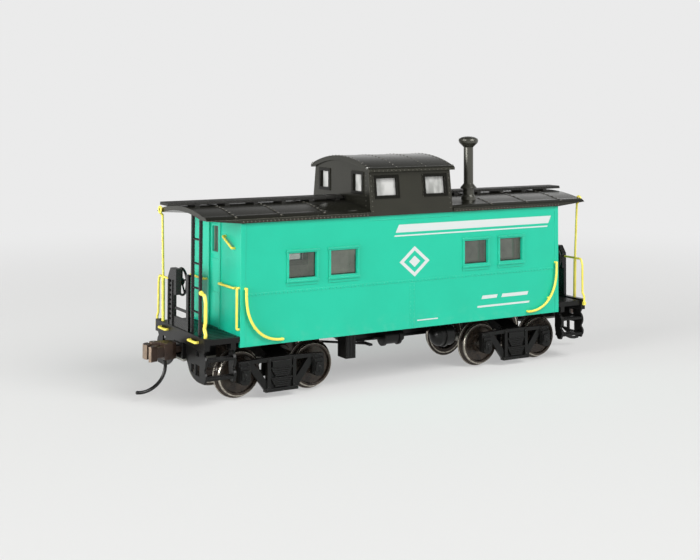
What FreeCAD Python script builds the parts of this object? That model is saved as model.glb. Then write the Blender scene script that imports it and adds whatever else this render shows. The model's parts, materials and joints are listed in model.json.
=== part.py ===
import FreeCAD, Part
import math
import os

# Model caboose, HO scale (1:87), built from moulded shells, wire rails and metal wheelsets.
# All sizes are millimetres. X runs along the track, Y across it, Z up.
# The origin is the middle of the car at the height of the rail tops.
# The A end is at -X and the B end at +X.
# Facing the A end, right is +Y and left is -Y.
# The end fittings and couplers look the same after a half turn about Z.

V = FreeCAD.Vector

# ---- driving dimensions -------------------------------------------------------------------
# body shell
BODY_HALF_LENGTH = 48.33
BODY_HALF_WIDTH = 15.14
WALL = 1.2
SILL_Z = 12.95            # lower edge of the side walls
FLOOR_Z = 15.5            # top of the floor and of the end platforms
FLOOR_THICKNESS = 1.6
EAVE_Z = 42.15            # top of the side walls
FIT = 0.05                # gap between mouldings that slide into each other

# main roof
ROOF_HALF_LENGTH = 57.33
ROOF_HALF_WIDTH = 15.8
ROOF_CROWN_Z = 45.5
ROOF_RADIUS = 59.0
ROOF_SHOULDER_Y = 13.4
ROOF_THICKNESS = 1.2

# side windows
WINDOW_CENTRES_X = (-31.8, -20.2, 20.2, 31.8)
WINDOW_WIDTH = 7.6
WINDOW_Z = (28.2, 34.3)
PANE_FACE_Y = 14.5        # outer face of the side window panes

# cupola
CUPOLA_HALF_LENGTH = 12.5
CUPOLA_BASE_HALF_WIDTH = 15.6
CUPOLA_TOP_HALF_WIDTH = 14.0
CUPOLA_EAVE_Z = 53.4
CUPOLA_ROOF_HALF_LENGTH = 13.15
CUPOLA_ROOF_HALF_WIDTH = 15.5
CUPOLA_CROWN_Z = 56.85
CUPOLA_ROOF_RADIUS = 43.0
CUPOLA_ROOF_THICKNESS = 1.15

# end platforms
BEAM_INNER_X = 56.2
BEAM_OUTER_X = 57.6
BEAM_HALF_WIDTH = 15.5
BEAM_TOP_Z = 15.9
BEAM_BOTTOM_Z = 13.0
PLATFORM_HALF_WIDTH = 15.1
PLATFORM_LOW_Z = 14.2     # underside of the end platforms

# trucks and wheels
TRUCK_X = 35.8
AXLE_OFFSET = 10.0
WHEEL_RADIUS = 5.55
FLANGE_DEPTH = 0.6
WHEEL_WIDTH = 2.3
BACK_TO_BACK = 14.4
AXLE_RADIUS = 1.15
BUSH_RADIUS = 1.65
AXLE_TIP_Y = 12.6
SIDE_FRAME_Y = (11.0, 12.2)

# couplers
COUPLER_Z = 11.1
PIVOT_X = 53.5
KNUCKLE_PIN_X = 63.2
KNUCKLE_PIN_Y = 2.0
KNUCKLE_PIN_RADIUS = 0.35
TRIP_PIN_X = -61.2
TRIP_PIN_RADIUS = 0.42
BOX_SCREW_X = 50.4
BOX_SCREW_RADIUS = 0.6


# ---- helpers ------------------------------------------------------------------------------
def block(x0, x1, y0, y1, z0, z1):
    """Rectangular block between two corners given in any order."""
    low = V(min(x0, x1), min(y0, y1), min(z0, z1))
    return Part.makeBox(abs(x1 - x0), abs(y1 - y0), abs(z1 - z0), low)


def round_bar(start, end, radius):
    """Straight round bar between two points."""
    along = end - start
    return Part.makeCylinder(radius, along.Length, start, along)


def prism(points, offset):
    """Closed outline of points, pushed along the vector offset."""
    outline = Part.makePolygon(list(points) + [points[0]])
    return Part.Face(outline).extrude(offset)


def prism_yz(outline, x0, x1):
    """Outline of (y, z) pairs, extruded from x0 to x1."""
    return prism([V(x0, y, z) for y, z in outline], V(x1 - x0, 0, 0))


def prism_xz(outline, y0, y1):
    """Outline of (x, z) pairs, extruded from y0 to y1."""
    return prism([V(x, y0, z) for x, z in outline], V(0, y1 - y0, 0))


def prism_xy(outline, z0, z1):
    """Outline of (x, y) pairs, extruded from z0 to z1."""
    return prism([V(x, y, z0) for x, y in outline], V(0, 0, z1 - z0))


def fused(shapes):
    """One solid from many that touch or overlap."""
    return shapes[0].multiFuse(shapes[1:]).removeSplitter()


def mirrored_x(shape):
    """Mirror image across the YZ plane."""
    return shape.mirror(V(0, 0, 0), V(1, 0, 0))


def mirrored_y(shape):
    """Mirror image across the XZ plane."""
    return shape.mirror(V(0, 0, 0), V(0, 1, 0))


def moved(shape, place):
    """Copy of a shape moved by the vector place."""
    copy = shape.copy()
    copy.translate(place)
    return copy


def turned_half(shape):
    """Copy for the B end: the A end piece after a half turn about Z."""
    copy = shape.copy()
    copy.rotate(V(0, 0, 0), V(0, 0, 1), 180)
    return copy


def four_corners(shape):
    """The piece and its mirror images at the four corners of the car."""
    pair = [shape, mirrored_y(shape)]
    return pair + [mirrored_x(one) for one in pair]


def wire_rod(points, radius, bend):
    """Round wire along a path of points, with its corners bent to the radius bend."""
    edges = []
    start = points[0]
    for i in range(1, len(points) - 1):
        corner = points[i]
        back = (points[i - 1] - corner).normalize()
        ahead = (points[i + 1] - corner).normalize()
        half_angle = back.getAngle(ahead) / 2
        trim = bend / math.tan(half_angle)
        inward = (back + ahead).normalize()
        middle = corner + inward * (bend / math.sin(half_angle) - bend)
        arc_start = corner + back * trim
        arc_end = corner + ahead * trim
        edges.append(Part.makeLine(start, arc_start))
        edges.append(Part.Arc(arc_start, middle, arc_end).toShape())
        start = arc_end
    edges.append(Part.makeLine(start, points[-1]))
    section = Part.Wire(Part.makeCircle(radius, points[0], points[1] - points[0]))
    return Part.Wire(edges).makePipeShell([section], True, False)


def curved_rod(points, radius):
    """Round wire along a smooth curve through the points."""
    curve = Part.BSplineCurve()
    curve.interpolate(points)
    start_direction = curve.tangent(curve.FirstParameter)[0]
    section = Part.Wire(Part.makeCircle(radius, points[0], start_direction))
    return Part.Wire(curve.toShape()).makePipeShell([section], True, False)


def arch_z(y, crown_z, radius):
    """Height of a shallow arch across the car at the distance y from its middle."""
    return crown_z - radius + math.sqrt(radius ** 2 - y ** 2)


def under_arch(half_width, crown_z, radius, floor_z, x0, x1):
    """Solid below an arch, down to floor_z, between two places along the car."""
    edge_z = arch_z(half_width, crown_z, radius)
    corners = (V(x0, -half_width, edge_z), V(x0, half_width, edge_z),
               V(x0, half_width, floor_z), V(x0, -half_width, floor_z))
    arc = Part.Arc(corners[0], V(x0, 0, crown_z), corners[1]).toShape()
    sides = [Part.makeLine(corners[i], corners[(i + 1) % 4]) for i in (1, 2, 3)]
    return Part.Face(Part.Wire([arc] + sides)).extrude(V(x1 - x0, 0, 0))


def arched_roof(half_length, half_width, crown_z, radius, shoulder_y, edge_z, floor_z):
    """Full roof form: an arch, rounded shoulders and a short upright edge."""
    shoulder_z = arch_z(shoulder_y, crown_z, radius)
    middle_y = shoulder_y + 0.62 * (half_width - shoulder_y)
    middle_z = edge_z + 0.68 * (shoulder_z - edge_z)
    x0 = -half_length
    low_right = V(x0, half_width, floor_z)
    high_right = V(x0, half_width, edge_z)
    bend_right = V(x0, shoulder_y, shoulder_z)
    bend_left = V(x0, -shoulder_y, shoulder_z)
    high_left = V(x0, -half_width, edge_z)
    low_left = V(x0, -half_width, floor_z)
    edges = [
        Part.makeLine(low_right, high_right),
        Part.Arc(high_right, V(x0, middle_y, middle_z), bend_right).toShape(),
        Part.Arc(bend_right, V(x0, 0, crown_z), bend_left).toShape(),
        Part.Arc(bend_left, V(x0, -middle_y, middle_z), high_left).toShape(),
        Part.makeLine(high_left, low_left),
        Part.makeLine(low_left, low_right),
    ]
    return Part.Face(Part.Wire(edges)).extrude(V(2 * half_length, 0, 0))


# ---- body shell ---------------------------------------------------------------------------
BITE = 0.1                # depth by which raised details sink into the wall behind them
DOOR_HALF_WIDTH = 3.1
DOOR_TOP_Z = 41.9
DOOR_DEPTH = 0.35
DOOR_WINDOW_HALF_WIDTH = 1.8
DOOR_WINDOW_Z = (33.9, 40.3)
DOOR_PANEL_HALF_WIDTH = 2.2
DOOR_PANELS_Z = ((17.2, 24.0), (25.4, 32.2))
FRAME_PROUD = 0.35
FRAME_BORDER = 0.5        # width of the raised surround around each side window
APRON_LOW = 1.7           # lowest edge of the panel below each side window
LUG_X = 12.0
LUG_HALF_LENGTH = 2.0
LUG_Z = (14.1, 14.7)
LUG_REACH = 0.3


def window_frames():
    """Raised surround, sill, apron and drip cap of each side window, on both sides."""
    side = WINDOW_WIDTH / 2 + FRAME_BORDER
    lip = 0.2
    back = BODY_HALF_WIDTH - BITE
    face = BODY_HALF_WIDTH + FRAME_PROUD
    low, high = WINDOW_Z
    pieces = []
    for x in WINDOW_CENTRES_X:
        surround = block(x - side, x + side, back, face, low - 0.6, high + 0.55)
        sill = block(x - side - lip, x + side + lip, back, face + lip, low - 0.9, low - 0.5)
        apron = block(x - side, x + side, back, face - 0.15, low - APRON_LOW, low - 0.8)
        cap = block(x - side - lip, x + side + lip, back, face + 0.25, high + 0.4, high + 0.75)
        for piece in (surround, sill, apron, cap):
            pieces.append(piece)
            pieces.append(mirrored_y(piece))
    return pieces


def window_cutters():
    """Blocks right through the body that open the side windows."""
    half = WINDOW_WIDTH / 2
    beyond = BODY_HALF_WIDTH + 2
    return [block(x - half, x + half, -beyond, beyond, *WINDOW_Z) for x in WINDOW_CENTRES_X]


def end_wall(x0, x1):
    """One end wall, with the roof's arch along its upper edge."""
    underside = ROOF_CROWN_Z - ROOF_THICKNESS
    inner_half = BODY_HALF_WIDTH - WALL
    arched = under_arch(inner_half, underside, ROOF_RADIUS, FLOOR_Z, x0, x1)
    corners = block(x0, x1, -BODY_HALF_WIDTH, BODY_HALF_WIDTH, FLOOR_Z, EAVE_Z)
    return arched.fuse(corners)


def door_leaf(end):
    """Raised parts of one door: a frame around its glass and two lower panels."""
    back = end * (BODY_HALF_LENGTH - DOOR_DEPTH - BITE)
    front = end * (BODY_HALF_LENGTH - 0.1)
    border = 0.5
    half = DOOR_WINDOW_HALF_WIDTH
    low, high = DOOR_WINDOW_Z
    surround = block(back, front, -half - border, half + border, low - border, high + border)
    hole = block(back - end, front + end, -half, half, low, high)
    pieces = [surround.cut(hole)]
    for panel_z in DOOR_PANELS_Z:
        pieces.append(block(back, front - end * 0.1, -DOOR_PANEL_HALF_WIDTH,
                            DOOR_PANEL_HALF_WIDTH, *panel_z))
    return pieces


def make_body_shell():
    """Moulded car body: side walls, end walls, window surrounds and framed doors."""
    inner_length = BODY_HALF_LENGTH - WALL
    inner_width = BODY_HALF_WIDTH - WALL
    pieces = []
    for side in (-1, 1):
        pieces.append(block(-BODY_HALF_LENGTH, BODY_HALF_LENGTH, side * inner_width,
                            side * BODY_HALF_WIDTH, SILL_Z, EAVE_Z))
    for end in (-1, 1):
        pieces.append(end_wall(end * inner_length, end * BODY_HALF_LENGTH))
        back = end * (BODY_HALF_LENGTH - BITE)
        header_half = DOOR_HALF_WIDTH + 0.9
        pieces.append(block(back, end * (BODY_HALF_LENGTH + 0.3), -header_half, header_half,
                            DOOR_TOP_Z, DOOR_TOP_Z + 0.7))
        for side in (-1, 1):
            jamb = block(back, end * (BODY_HALF_LENGTH + 0.25), side * DOOR_HALF_WIDTH,
                         side * (DOOR_HALF_WIDTH + 0.6), FLOOR_Z, DOOR_TOP_Z + 0.1)
            pieces.append(jamb)
    shell = fused(pieces + window_frames())
    cutters = window_cutters()
    leaves = []
    for end in (-1, 1):
        face = end * BODY_HALF_LENGTH
        cutters.append(block(face + end, face - end * DOOR_DEPTH, -DOOR_HALF_WIDTH,
                             DOOR_HALF_WIDTH, FLOOR_Z, DOOR_TOP_Z))
        cutters.append(block(face + end, face - end * 2, -DOOR_WINDOW_HALF_WIDTH,
                             DOOR_WINDOW_HALF_WIDTH, *DOOR_WINDOW_Z))
        leaves.extend(door_leaf(end))
    shell = fused([shell.cut(Part.makeCompound(cutters))] + leaves)
    # pockets inside the side walls for the floor's snap lugs
    pockets = []
    for x in (-LUG_X, LUG_X):
        for side in (-1, 1):
            pockets.append(block(x - LUG_HALF_LENGTH - FIT, x + LUG_HALF_LENGTH + FIT,
                                 side * (inner_width - 0.5), side * (inner_width + LUG_REACH),
                                 LUG_Z[0] - FIT, LUG_Z[1] + FIT))
    return shell.cut(Part.makeCompound(pockets))


# ---- glazing ------------------------------------------------------------------------------
GLASS_THICKNESS = 0.8
GLASS_BORDER = 1.2        # how far the clear strip reaches past the openings
GLASS_FIT = 0.02          # gap between a pane and the edge of its opening


def make_side_glazing():
    """Clear strips behind the side windows, with a raised pane in each opening."""
    inner = BODY_HALF_WIDTH - WALL
    half = WINDOW_WIDTH / 2 - GLASS_FIT
    reach = WINDOW_WIDTH / 2 + GLASS_BORDER
    low, high = WINDOW_Z
    solids = []
    for side in (-1, 1):
        for pair in (WINDOW_CENTRES_X[:2], WINDOW_CENTRES_X[2:]):
            panes = [block(pair[0] - reach, pair[1] + reach, side * (inner - GLASS_THICKNESS),
                           side * inner, low - GLASS_BORDER, high + GLASS_BORDER)]
            for x in pair:
                panes.append(block(x - half, x + half, side * (inner - BITE),
                                   side * PANE_FACE_Y, low + GLASS_FIT, high - GLASS_FIT))
            solids.append(fused(panes))
    return solids


def make_door_glazing():
    """Clear pane with a flange behind each end door."""
    inner = BODY_HALF_LENGTH - WALL
    half = DOOR_WINDOW_HALF_WIDTH - GLASS_FIT
    reach = DOOR_WINDOW_HALF_WIDTH + 0.9
    low, high = DOOR_WINDOW_Z
    solids = []
    for end in (-1, 1):
        flange = block(end * (inner - GLASS_THICKNESS), end * inner, -reach, reach,
                       low - 0.9, high + 0.9)
        pane = block(end * (inner - BITE), end * (inner + 0.4), -half, half,
                     low + GLASS_FIT, high - GLASS_FIT)
        solids.append(flange.fuse(pane).removeSplitter())
    return solids


# ---- main roof ----------------------------------------------------------------------------
ROOF_EDGE_Z = 43.1
CUPOLA_NOTCH_Y = 13.5
JACK_X = 22.2
JACK_Y = -9.0
JACK_PIPE_RADIUS = 1.3
JACK_SPIGOT_RADIUS = 1.0
JACK_SPIGOT_Z = 43.3
BOARD_A_OUTER_X = 61.8
BOARD_B_OUTER_X = 59.5
BOARD_TOP_Z = 46.6
PLANK_Z = 46.2            # underside of the running board planks
STRIP_Z = 45.85           # underside of the strips along the running boards
PLANK_CENTRES_Y = (-1.65, 0.0, 1.65)
PLANK_HALF_WIDTH = 0.75
BOARD_HALF_WIDTH = 2.5
BATTEN_COUNT = 6
BATTEN_HALF_WIDTH = 0.6


def roof_form(half_length):
    """Outer form of the main roof without its hollow underside."""
    return arched_roof(half_length, ROOF_HALF_WIDTH, ROOF_CROWN_Z, ROOF_RADIUS,
                       ROOF_SHOULDER_Y, ROOF_EDGE_Z, EAVE_Z)


def make_roof():
    """Moulded roof: arched panel, edge fascia, overhangs and the opening under the cupola."""
    underside = ROOF_CROWN_Z - ROOF_THICKNESS
    roof = roof_form(ROOF_HALF_LENGTH)
    hollow = under_arch(BODY_HALF_WIDTH - WALL, underside, ROOF_RADIUS, EAVE_Z - 1,
                        -BODY_HALF_LENGTH, BODY_HALF_LENGTH)
    cutters = [hollow]
    for end in (-1, 1):
        cutters.append(under_arch(ROOF_HALF_WIDTH - 0.8, underside, ROOF_RADIUS, EAVE_Z - 1,
                                  end * (BODY_HALF_LENGTH - 0.01), end * (ROOF_HALF_LENGTH + 1)))
        # the fascia gets shallower towards the end of the overhang
        cutters.append(prism_xz([(end * BODY_HALF_LENGTH, EAVE_Z - 0.5),
                                 (end * BODY_HALF_LENGTH, EAVE_Z),
                                 (end * (ROOF_HALF_LENGTH + 1), EAVE_Z + 1.0),
                                 (end * (ROOF_HALF_LENGTH + 1), EAVE_Z - 0.5)], -17, 17))
    for side in (-1, 1):
        cutters.append(block(-CUPOLA_HALF_LENGTH - 0.15, CUPOLA_HALF_LENGTH + 0.15,
                             side * CUPOLA_NOTCH_Y, side * 17, EAVE_Z - 1, ROOF_CROWN_Z))
    cutters.append(block(-10.8, 10.8, -11.5, 11.5, EAVE_Z - 1, ROOF_CROWN_Z + 1))
    cutters.append(Part.makeCylinder(JACK_SPIGOT_RADIUS, 6, V(JACK_X, JACK_Y, EAVE_Z)))
    return roof.cut(Part.makeCompound(cutters)).removeSplitter()


def make_running_board(outer_x):
    """Three roof planks on battens between two side strips, from the cupola to outer_x."""
    inner_x = CUPOLA_ROOF_HALF_LENGTH + 0.2
    first_x = inner_x + 1.5
    last_x = 54.0
    high_z = PLANK_Z + BITE
    pieces = []
    for y in PLANK_CENTRES_Y:
        pieces.append(block(inner_x, outer_x, y - PLANK_HALF_WIDTH,
                            y + PLANK_HALF_WIDTH, PLANK_Z, BOARD_TOP_Z))
    for i in range(BATTEN_COUNT):
        x = first_x + i * (last_x - first_x) / (BATTEN_COUNT - 1)
        pieces.append(block(x - BATTEN_HALF_WIDTH, x + BATTEN_HALF_WIDTH, -BOARD_HALF_WIDTH,
                            BOARD_HALF_WIDTH, ROOF_CROWN_Z - 0.4, high_z))
    for side in (-1, 1):
        pieces.append(block(inner_x, outer_x, side * (BOARD_HALF_WIDTH - 0.4),
                            side * BOARD_HALF_WIDTH, STRIP_Z, high_z))
    pieces.append(block(outer_x - 0.6, outer_x, -BOARD_HALF_WIDTH, BOARD_HALF_WIDTH,
                        STRIP_Z, high_z))
    return fused(pieces).cut(roof_form(ROOF_HALF_LENGTH))


def make_smokejack():
    """Stove chimney: spigot, flared foot, storm collar, pipe and domed cap."""
    low_z = JACK_SPIGOT_Z
    pipe = JACK_PIPE_RADIUS
    outline = [(0, low_z), (JACK_SPIGOT_RADIUS, low_z), (JACK_SPIGOT_RADIUS, 44.2), (2.1, 44.2),
               (1.9, 45.4), (1.55, 45.9), (1.55, 47.5), (2.2, 47.6), (2.2, 47.85),
               (pipe, 48.9), (pipe, 58.7), (1.8, 59.2), (2.5, 59.9), (2.7, 60.5),
               (2.55, 61.0), (1.8, 61.4), (0.9, 61.6), (0, 61.65)]
    face = Part.Face(Part.makePolygon([V(r, 0, z) for r, z in outline + [outline[0]]]))
    jack = face.revolve(V(0, 0, 0), V(0, 0, 1), 360)
    jack.translate(V(JACK_X, JACK_Y, 0))
    spigot = Part.makeCylinder(JACK_SPIGOT_RADIUS, 2.5, V(JACK_X, JACK_Y, low_z))
    return jack.cut(roof_form(ROOF_HALF_LENGTH)).fuse(spigot).removeSplitter()


# ---- cupola -------------------------------------------------------------------------------
CUPOLA_WALL = 0.65
CUPOLA_SIDE_WINDOWS = ((-10.5, -4.4), (4.4, 10.5))
CUPOLA_SIDE_WINDOW_Z = (47.2, 51.5)
CUPOLA_END_WINDOWS = ((-10.9, -6.5), (6.5, 10.9))
CUPOLA_END_WINDOW_Z = (48.1, 52.4)
CUPOLA_FRAME_BORDER = 0.8
CUPOLA_FRAME_PROUD = 0.25


def cupola_block(inset, low_z, high_z):
    """Block of the cupola's walls, narrower towards its top, moved inwards by inset."""
    lean = (CUPOLA_BASE_HALF_WIDTH - CUPOLA_TOP_HALF_WIDTH) / (CUPOLA_EAVE_Z - EAVE_Z)
    half_x = CUPOLA_HALF_LENGTH - inset
    low_y = CUPOLA_BASE_HALF_WIDTH - inset - lean * (low_z - EAVE_Z)
    high_y = CUPOLA_BASE_HALF_WIDTH - inset - lean * (high_z - EAVE_Z)
    outline = [(-low_y, low_z), (low_y, low_z), (high_y, high_z), (-high_y, high_z)]
    return prism_yz(outline, -half_x, half_x)


def cupola_openings(grow):
    """Blocks through the cupola's side and end windows, grown by grow on each edge."""
    beyond = CUPOLA_BASE_HALF_WIDTH + 2
    blocks = []
    low, high = CUPOLA_SIDE_WINDOW_Z
    for x0, x1 in CUPOLA_SIDE_WINDOWS:
        blocks.append(block(x0 - grow, x1 + grow, -beyond, beyond, low - grow, high + grow))
    low, high = CUPOLA_END_WINDOW_Z
    for y0, y1 in CUPOLA_END_WINDOWS:
        blocks.append(block(-beyond, beyond, y0 - grow, y1 + grow, low - grow, high + grow))
    return blocks


def cupola_skin(outer_inset, inner_inset, high_z):
    """Tube between two insets of the cupola's walls."""
    core = cupola_block(inner_inset, EAVE_Z - 1, high_z + 1)
    return cupola_block(outer_inset, EAVE_Z, high_z).cut(core)


def make_cupola_shell():
    """Raised lookout: four walls with framed windows, standing over the roof."""
    underside = CUPOLA_CROWN_Z - CUPOLA_ROOF_THICKNESS
    walls = cupola_skin(0, CUPOLA_WALL, underside)
    proud = cupola_skin(-CUPOLA_FRAME_PROUD, CUPOLA_FRAME_PROUD, underside)
    frames = [proud.common(opening) for opening in cupola_openings(CUPOLA_FRAME_BORDER)]
    shell = fused([walls] + frames)
    shell = shell.common(under_arch(CUPOLA_BASE_HALF_WIDTH + 1, underside, CUPOLA_ROOF_RADIUS,
                                    EAVE_Z, -14, 14))
    notch_half = CUPOLA_NOTCH_Y + FIT
    below = roof_form(20.0).common(block(-20, 20, -notch_half, notch_half, EAVE_Z - 1,
                                         ROOF_CROWN_Z + 1))
    return shell.cut(Part.makeCompound(cupola_openings(0) + [below])).removeSplitter()


def make_cupola_glazing():
    """Clear sleeve that stands inside the cupola's walls."""
    low_z = 46.3
    high_z = 53.2
    outer = cupola_block(CUPOLA_WALL + FIT, low_z, high_z)
    inner = cupola_block(CUPOLA_WALL + FIT + GLASS_THICKNESS, low_z - 1, high_z + 1)
    return outer.cut(inner)


def make_cupola_roof():
    """Arched cupola roof with a drip edge all round."""
    underside = CUPOLA_CROWN_Z - CUPOLA_ROOF_THICKNESS
    edge_z = 53.75
    floor_z = 53.2
    form = arched_roof(CUPOLA_ROOF_HALF_LENGTH, CUPOLA_ROOF_HALF_WIDTH, CUPOLA_CROWN_Z,
                       CUPOLA_ROOF_RADIUS, 14.5, edge_z, floor_z)
    hollow = under_arch(14.7, underside, CUPOLA_ROOF_RADIUS, floor_z - 1, -14, 14)
    return form.cut(hollow).removeSplitter()


# ---- underframe ---------------------------------------------------------------------------
BOSS_RADIUS = 3.2
TRUCK_TOP_Z = 11.2        # bearing face between each truck and its boss
SCREW_RADIUS = 1.0
SCREW_LENGTH = 5.6
DRAFT_BOX_X = (49.2, 57.9)
DRAFT_BOX_Z = (9.2, 12.6)
DRAFT_BOX_HALF_WIDTH = 3.1
BEARER_X = (9.0, 21.5)
BEARER_Z = 11.6           # lowest face of the cross bearers


def make_underframe():
    """Black moulding: floor, platforms, end beams, centre sill, bolsters and cross bearers."""
    floor_z = FLOOR_Z - FLOOR_THICKNESS
    inner_length = BODY_HALF_LENGTH - WALL - FIT
    inner_width = BODY_HALF_WIDTH - WALL - FIT
    pieces = [block(-inner_length, inner_length, -inner_width, inner_width, floor_z, FLOOR_Z)]
    for x in (-LUG_X, LUG_X):
        pieces.append(block(x - LUG_HALF_LENGTH, x + LUG_HALF_LENGTH,
                            -inner_width - LUG_REACH, inner_width + LUG_REACH, *LUG_Z))
    for end in (-1, 1):
        pieces.append(block(end * (inner_length - 0.1), end * (BODY_HALF_LENGTH + 0.2),
                            -inner_width, inner_width, floor_z, FLOOR_Z))
        pieces.append(block(end * (BODY_HALF_LENGTH + FIT), end * BEAM_OUTER_X,
                            -PLATFORM_HALF_WIDTH, PLATFORM_HALF_WIDTH, PLATFORM_LOW_Z,
                            FLOOR_Z))
        pieces.append(block(end * BEAM_INNER_X, end * BEAM_OUTER_X, -BEAM_HALF_WIDTH,
                            BEAM_HALF_WIDTH, BEAM_BOTTOM_Z, BEAM_TOP_Z))
        # draft sill down to the top of the coupler box
        pieces.append(block(end * (TRUCK_X - 2), end * BEAM_OUTER_X, -2.6, 2.6,
                            DRAFT_BOX_Z[1], floor_z + 0.5))
        # body bolster with its round boss above the truck
        pieces.append(prism_yz([(-12.8, floor_z + 0.1), (-12.8, 13.1), (-4.0, 12.3), (4.0, 12.3),
                                (12.8, 13.1), (12.8, floor_z + 0.1)],
                               end * (TRUCK_X - 1.6), end * (TRUCK_X + 1.6)))
        pieces.append(Part.makeCylinder(BOSS_RADIUS, 2.8, V(end * TRUCK_X, 0, TRUCK_TOP_Z)))
        for x in BEARER_X:
            pieces.append(prism_yz([(-12.8, floor_z + 0.1), (-12.8, 13.2), (-5.0, BEARER_Z),
                                    (5.0, BEARER_Z), (12.8, 13.2), (12.8, floor_z + 0.1)],
                                   end * x - 0.4, end * x + 0.4))
    # fish-belly centre sill: two webs and their bottom flange
    web = [(-33.5, floor_z + 0.1), (-33.5, 11.9), (-19.0, 11.6), (-12.5, 8.6), (12.5, 8.6),
           (19.0, 11.6), (33.5, 11.9), (33.5, floor_z + 0.1)]
    for side in (-1, 1):
        pieces.append(prism_xz(web, side * 1.7, side * 2.3))
    pieces.append(block(-12.5, 12.5, -2.8, 2.8, 8.4, 8.8))
    frame = fused(pieces)
    cutters = []
    for end in (-1, 1):
        cutters.append(Part.makeCylinder(SCREW_RADIUS, 4.0, V(end * TRUCK_X, 0, TRUCK_TOP_Z)))
        cutters.append(Part.makeCylinder(BOX_SCREW_RADIUS, 1.8, V(end * BOX_SCREW_X, 0,
                                                                  DRAFT_BOX_Z[1])))
    return frame.cut(Part.makeCompound(cutters))


# ---- steps --------------------------------------------------------------------------------
STEP_OUTER_X = (56.7, 57.2)
STEP_INNER_X = (49.3, 50.0)
STEP_OUTER_PLATE_Y = 3.7  # where the wide outer plate starts
STEP_INNER_PLATE_Y = 12.4 # where the narrow inner plate starts
STEP_LOW_Z = 5.2
STEP_HEEL_Z = 9.7         # start of the rounded corner of the side plates
TREAD_Z = (6.0, 10.3)
TREAD_Y = (12.5, 15.3)
TREAD_THICKNESS = 0.55


def step_side(x0, x1, inner_y, corner_y):
    """Step side plate in the YZ plane: rounded inner corner and a scalloped outer edge."""
    low_z = STEP_LOW_Z
    heel_z = STEP_HEEL_Z
    top_z = BEAM_BOTTOM_Z
    bend = V(x0, inner_y + 0.3 * (corner_y - inner_y), low_z + 0.34 * (heel_z - low_z))
    edges = [
        Part.makeLine(V(x0, inner_y, top_z), V(x0, inner_y, heel_z)),
        Part.Arc(V(x0, inner_y, heel_z), bend, V(x0, corner_y, low_z)).toShape(),
        Part.makeLine(V(x0, corner_y, low_z), V(x0, 14.7, low_z)),
        Part.makeLine(V(x0, 14.7, low_z), V(x0, 15.1, 6.0)),
        Part.Arc(V(x0, 15.1, 6.0), V(x0, 15.45, 7.0), V(x0, 14.7, 8.1)).toShape(),
        Part.makeLine(V(x0, 14.7, 8.1), V(x0, 14.7, 8.6)),
        Part.Arc(V(x0, 14.7, 8.6), V(x0, 15.35, 10.3), V(x0, 14.3, 12.0)).toShape(),
        Part.makeLine(V(x0, 14.3, 12.0), V(x0, 15.0, top_z)),
        Part.makeLine(V(x0, 15.0, top_z), V(x0, inner_y, top_z)),
    ]
    return Part.Face(Part.Wire(edges)).extrude(V(x1 - x0, 0, 0))


def make_step():
    """Corner steps at +X, +Y: wide pierced outer plate, narrow inner plate and two treads."""
    outer = step_side(*STEP_OUTER_X, STEP_OUTER_PLATE_Y, 12.4)
    inner = step_side(*STEP_INNER_X, STEP_INNER_PLATE_Y, 13.6)
    x0, x1 = STEP_OUTER_X[0] - 1, STEP_OUTER_X[1] + 1
    openings = [
        block(x0, x1, 6.9, 8.7, 6.9, 8.8),
        block(x0, x1, 9.5, 11.9, 6.6, 9.1),
        block(x0, x1, 9.9, 11.5, 11.1, 12.4),
    ]
    pieces = [outer.cut(Part.makeCompound(openings)), inner]
    for z in TREAD_Z:
        pieces.append(block(STEP_INNER_X[0] + 0.1, STEP_OUTER_X[1] - 0.1, *TREAD_Y,
                            z, z + TREAD_THICKNESS))
    # lug that joins the inner plate to the underside of the platform
    pieces.append(block(STEP_INNER_X[0], STEP_INNER_X[1] + 0.6, STEP_INNER_PLATE_Y, 15.0,
                        BEAM_BOTTOM_Z - 0.3, PLATFORM_LOW_Z))
    return fused(pieces)


# ---- couplers -----------------------------------------------------------------------------
PIVOT_POST_RADIUS = 1.1
BOX_WALL = 0.6
SHANK_Z = (COUPLER_Z - 0.6, COUPLER_Z + 0.8)
HEAD_Z = (COUPLER_Z - 1.9, COUPLER_Z + 1.9)
LUG_HEIGHT = 0.8
HUB_HEIGHT = 2.1


def make_draft_box():
    """Coupler box of the A end: open below, with the pivot post moulded inside."""
    x0, x1 = DRAFT_BOX_X
    z0, z1 = DRAFT_BOX_Z
    w = DRAFT_BOX_HALF_WIDTH
    outer = block(-x0, -x1, -w, w, z0, z1)
    hollow = block(-x0 - 1.9, -x1 - 1, -w + BOX_WALL, w - BOX_WALL, z0 - 1, z1 - BOX_WALL)
    post = Part.makeCylinder(PIVOT_POST_RADIUS, z1 - z0 - 0.1, V(-PIVOT_X, 0, z0))
    hole = Part.makeCylinder(BOX_SCREW_RADIUS + 0.1, z1 - z0 + 1, V(-BOX_SCREW_X, 0, z0 - 0.5))
    return outer.cut(hollow).fuse(post).cut(hole).removeSplitter()


def make_draft_lid():
    """Flat lid under the coupler box, with a lip below the end beam."""
    x0, x1 = DRAFT_BOX_X
    z1 = DRAFT_BOX_Z[0]
    w = DRAFT_BOX_HALF_WIDTH
    plate = block(-x0, -x1, -w, w, z1 - 0.5, z1)
    lip = block(-x1 + 0.7, -x1, -w - 0.5, w + 0.5, z1 - 0.5, z1)
    hole = Part.makeCylinder(BOX_SCREW_RADIUS + 0.1, 2, V(-BOX_SCREW_X, 0, z1 - 1))
    return plate.fuse(lip).cut(hole).removeSplitter()


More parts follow.
